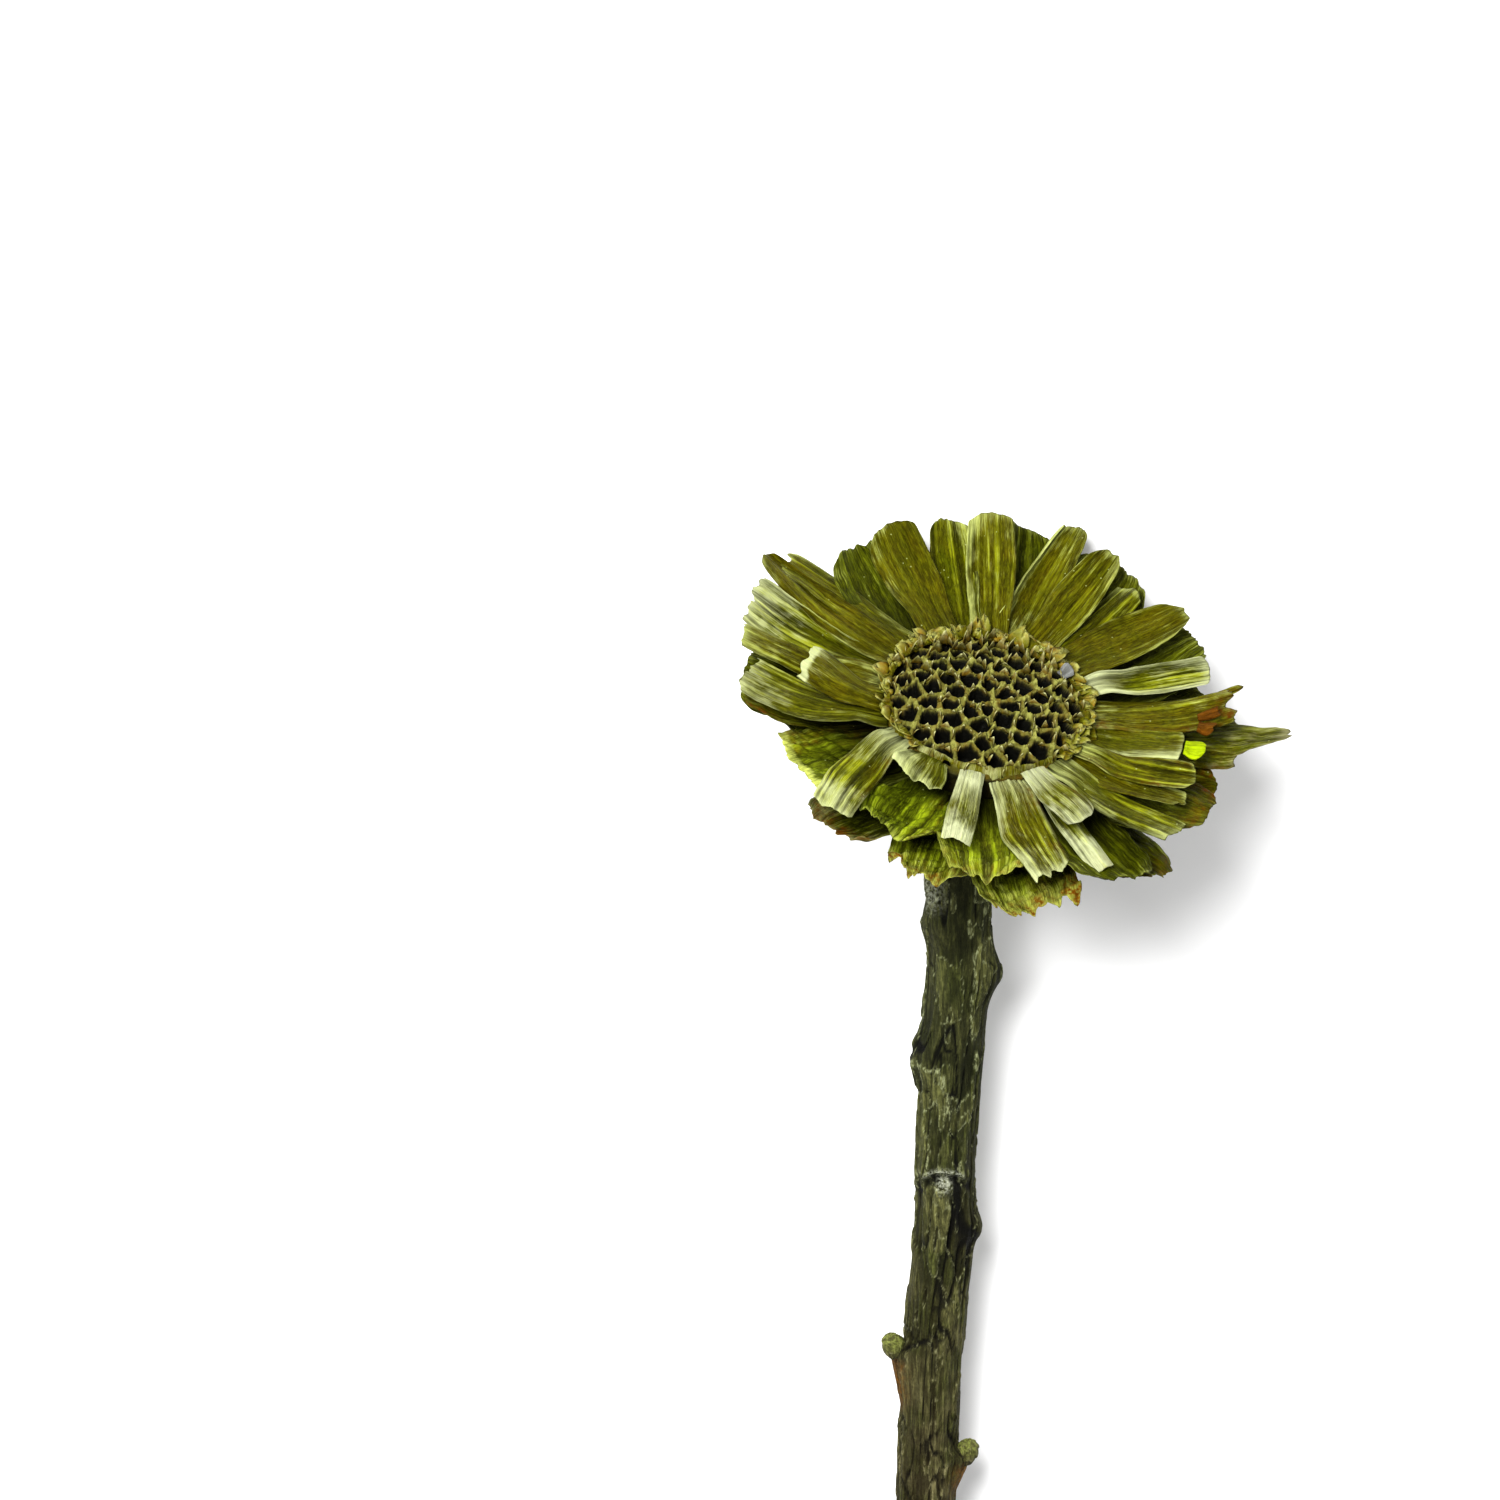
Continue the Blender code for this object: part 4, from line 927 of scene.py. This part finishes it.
def bark_finish():
    """Grey-green bark: shade painted in furrows, pale along lifted edges, mossy near the head and browner lower down.
    """
    made, tree, shader, mask = new_material("bark", specular=0.15)
    high = add(tree, "MapRange", {"Value": mask("high"), "From Min": -0.22, "From Max": 0.60}).outputs["Result"]
    low_down = add(tree, "MapRange", {"Value": mask("drop"), "From Min": 70.0, "From Max": 130.0})
    low_down = low_down.outputs["Result"]
    patch = use(tree, blotches, Size=8.0, Low=0.42, High=0.60)
    long = use(tree, fibres, Width=0.60, Stretch=10.0, Low=0.40, High=0.56)
    thin = use(tree, fibres, Width=0.26, Stretch=8.0, Low=0.42, High=0.58)
    fleck = use(tree, fibres, Width=0.50, Stretch=2.2, Low=0.46, High=0.60)
    tiny = use(tree, blotches, Size=0.6, Low=0.42, High=0.62)
    ridge = mixed(low_down, (0.165, 0.168, 0.056), (0.150, 0.135, 0.060))
    ridge = mixed(times(patch, 0.75), ridge, (0.060, 0.072, 0.012))
    furrow = mixed(low_down, (0.006, 0.007, 0.001), (0.011, 0.007, 0.001))
    # painted shade: near black in the bark's low parts, lighter on its raised ones
    face = mixed(high, furrow, ridge)
    face = mixed(times(long, 0.62), face, furrow)
    face = mixed(times(thin, 0.48), face, furrow)
    # painted shade: near black in the cracks, the scar's hollows and under the buds' scale edges
    face = mixed(times(mask("crack"), 0.9), face, (0.002, 0.002, 0.001))
    pale_edge = times(mask("edge"), plus(0.05, times(fleck, 0.72)), clamp=True)
    face = mixed(pale_edge, face, mixed(low_down, (0.30, 0.32, 0.17), (0.24, 0.22, 0.11)))
    chalk = times(mask("chalk"), tiny)
    face = mixed(chalk, face, (0.55, 0.57, 0.44))
    rings = sums("ABSOLUTE", sums("SINE", times(mask("ring"), 26.0)))
    wood = mixed(rings, (0.42, 0.36, 0.18), (0.28, 0.22, 0.09))
    face = mixed(mask("wood"), face, wood)
    sprout = times(mask("sprout"), plus(0.15, times(tiny, 0.75)), clamp=True)
    face = mixed(sprout, face, (0.26, 0.29, 0.07))
    rusty = times(mask("rusty"), plus(0.4, times(fleck, 0.6)), clamp=True)
    face = mixed(rusty, face, (0.17, 0.080, 0.014))
    height = plus(times(long, -0.8), times(thin, -0.4))
    height = plus(height, times(tiny, 0.4))
    surface(shader, face, 0.72, height, strength=0.8, distance=0.0003)
    return made


BARK = bark_finish()
stem = make_piece("bark_stem", *closed_tube(*stem_surface()), BARK, "stem_bark", ["stem"])
print("stem faces:", len(stem.data.polygons))

# %% [markdown]
# ## Buds and basal scales
# Two dormant buds sit on the stem, each an egg of overlapping scales. A few small woody scales close the gap where
# the head meets the stem, and these are short bracts again, made by the same formula.

# %% Buds and basal scales
def bud_surface(drop, side, radii, rows=30, columns=40):
    """An egg pointing up the stem, with rows of overlapping scale edges stepped into it."""
    lean = math.radians(12)
    line = smooth_line(STEM_LINE, 600)
    at = line[np.argmin(np.abs(line[:, 2] + drop))]
    v = np.linspace(0.04, math.pi - 0.04, rows)[:, None]
    turn = np.linspace(0, 2 * math.pi, columns, endpoint=False)[None, :]
    overlap = np.mod(v / math.pi * 4 + 0.5 * np.cos(turn * 2.5), 1)
    swell = 1 + 0.13 * overlap + 0.05 * rough(turn * 3 / math.pi, v * 3, 61, 3, 6)
    out = np.array((math.cos(math.radians(side)), math.sin(math.radians(side)), 0.0))
    across = np.array((-out[1], out[0], 0.0))
    up = np.array((0.0, 0.0, 1.0)) * math.cos(lean) + out * math.sin(lean)
    centre = at[:3] + out * (at[3] + 1.3)
    shape = swell * np.sin(v)
    points = (centre + (shape * np.cos(turn) * radii[0])[..., None] * out
              + (shape * np.sin(turn) * radii[0])[..., None] * across
              + (np.cos(v) * radii[1] * (1 + 0.05 * overlap))[..., None] * up)
    masks = {
        # painted shade: near black just under each scale's edge, darker where each scale tucks under the one above
        "high": 0.5 * overlap + 0.2, "crack": 0.5 * (overlap < 0.1), "edge": 0.6 * (overlap > 0.8), "drop": drop,
        "wood": 0, "ring": 0, "chalk": 0, "rusty": 0, "sprout": np.clip(0.35 + 0.65 * np.cos(v), 0, 1)}
    return points, masks


for name, drop, side, _ in BUDS:
    surface_and_masks = bud_surface(drop, side, radii=(1.9, 2.3))
    make_piece(f"scaly_bud_{name}", *closed_tube(*surface_and_masks), BARK, "stem_bud", [f"stem_bud_{name}"])

for number in range(1, 6):
    look = dict(
        base=72 * (number - 1), tip=72 * (number - 1), reach=16.5, width=12.5, tip_share=0.45, lift=0.0, rank="basal",
        cup=-0.7, ruffle=0.3, tear=0.04, thickness=0.7, base_share=0.85, point=2.0, tone=0.9, stripes=0.3, deep=0.5,
        brown_tip=0.8, brown_left=0.4, brown_right=0.4)
    make_bract(
        f"woody_scale_{number:02d}", look, 300 + number, 40, 33, TISSUE["outer_bract"], "basal_scale",
        [f"basal_scale_{number:02d}"])
print("buds: 2, basal scales: 5")

# %% [markdown]
# ## Table, light and camera
# A plain pale table, one large soft light above and to the left, a weaker one from the right, and a pale sky. The
# camera stands over the head's end of the table and looks almost straight down, so the flower is seen as if it stood
# upright in front of the viewer. A little more contrast than usual keeps the shadows between the bracts deep.

# %% Table and lights
floor_mesh = bpy.data.meshes.new("table")
floor_mesh.from_pydata([(-3, -3, 0), (3, -3, 0), (3, 3, 0), (-3, 3, 0)], [], [(0, 1, 2, 3)])
table = bpy.data.objects.new("table", floor_mesh)
bpy.context.scene.collection.objects.link(table)
table_finish = bpy.data.materials.new("pale_table")
table_finish.use_nodes = True
feed(table_finish.node_tree.nodes["Principled BSDF"], {"Base Color": (0.86, 0.86, 0.86, 1), "Roughness": 0.9})
floor_mesh.materials.append(table_finish)


def soft_light(name, place, aim, size, power):
    """A square soft box at a place, turned to face a point."""
    lamp = bpy.data.lights.new(name, "AREA")
    lamp.size = size
    lamp.energy = power
    lamp_object = bpy.data.objects.new(name, lamp)
    lamp_object.location = place
    lamp_object.rotation_euler = (Vector(aim) - Vector(place)).to_track_quat("-Z", "Y").to_euler()
    bpy.context.scene.collection.objects.link(lamp_object)


HEAD = (0.0, 0.12, 0.035)
soft_light("key", (-0.38, 0.62, 1.05), HEAD, 0.50, 26)
soft_light("fill", (0.75, -0.1, 0.8), HEAD, 0.7, 2.5)
world = bpy.data.worlds.new("soft_sky")
world.use_nodes = True
feed(world.node_tree.nodes["Background"], {"Color": (1, 1, 1, 1), "Strength": 0.5})
bpy.context.scene.world = world
bpy.context.scene.view_settings.view_transform = "Standard"
bpy.context.scene.view_settings.look = "Medium High Contrast"

# %% The camera
EYE_HEIGHT = math.radians(12)
EYE_DISTANCE = 1200.0  # mm
VIEW_WIDTH = 232.5  # mm, at the distance of the flower
SENSOR_WIDTH = 36.0
VIEW_RIGHT, VIEW_UP = -36.4, -7.3  # mm, from the disc's centre to the middle of the view
toward_eye = np.array((0.0, -math.cos(EYE_HEIGHT), math.sin(EYE_HEIGHT)))
eye_up = np.array((0.0, math.sin(EYE_HEIGHT), math.cos(EYE_HEIGHT)))
aim = np.array((VIEW_RIGHT, 0.0, 0.0)) + VIEW_UP * eye_up
eye, target = on_table(np.stack([aim + EYE_DISTANCE * toward_eye, aim]))
up = LAY_TURN @ eye_up
back = Vector(eye - target).normalized()
right = Vector(up).cross(back).normalized()
camera_data = bpy.data.cameras.new("camera")
camera_data.sensor_width = SENSOR_WIDTH
camera_data.lens = SENSOR_WIDTH * EYE_DISTANCE / VIEW_WIDTH
camera = bpy.data.objects.new("camera", camera_data)
bpy.context.scene.collection.objects.link(camera)
turned = np.eye(4)
turned[:3, 0], turned[:3, 1], turned[:3, 2], turned[:3, 3] = right, back.cross(right), back, eye
camera.matrix_world = Matrix(turned.tolist())
bpy.context.scene.camera = camera
print("camera at, m:", eye.round(3))
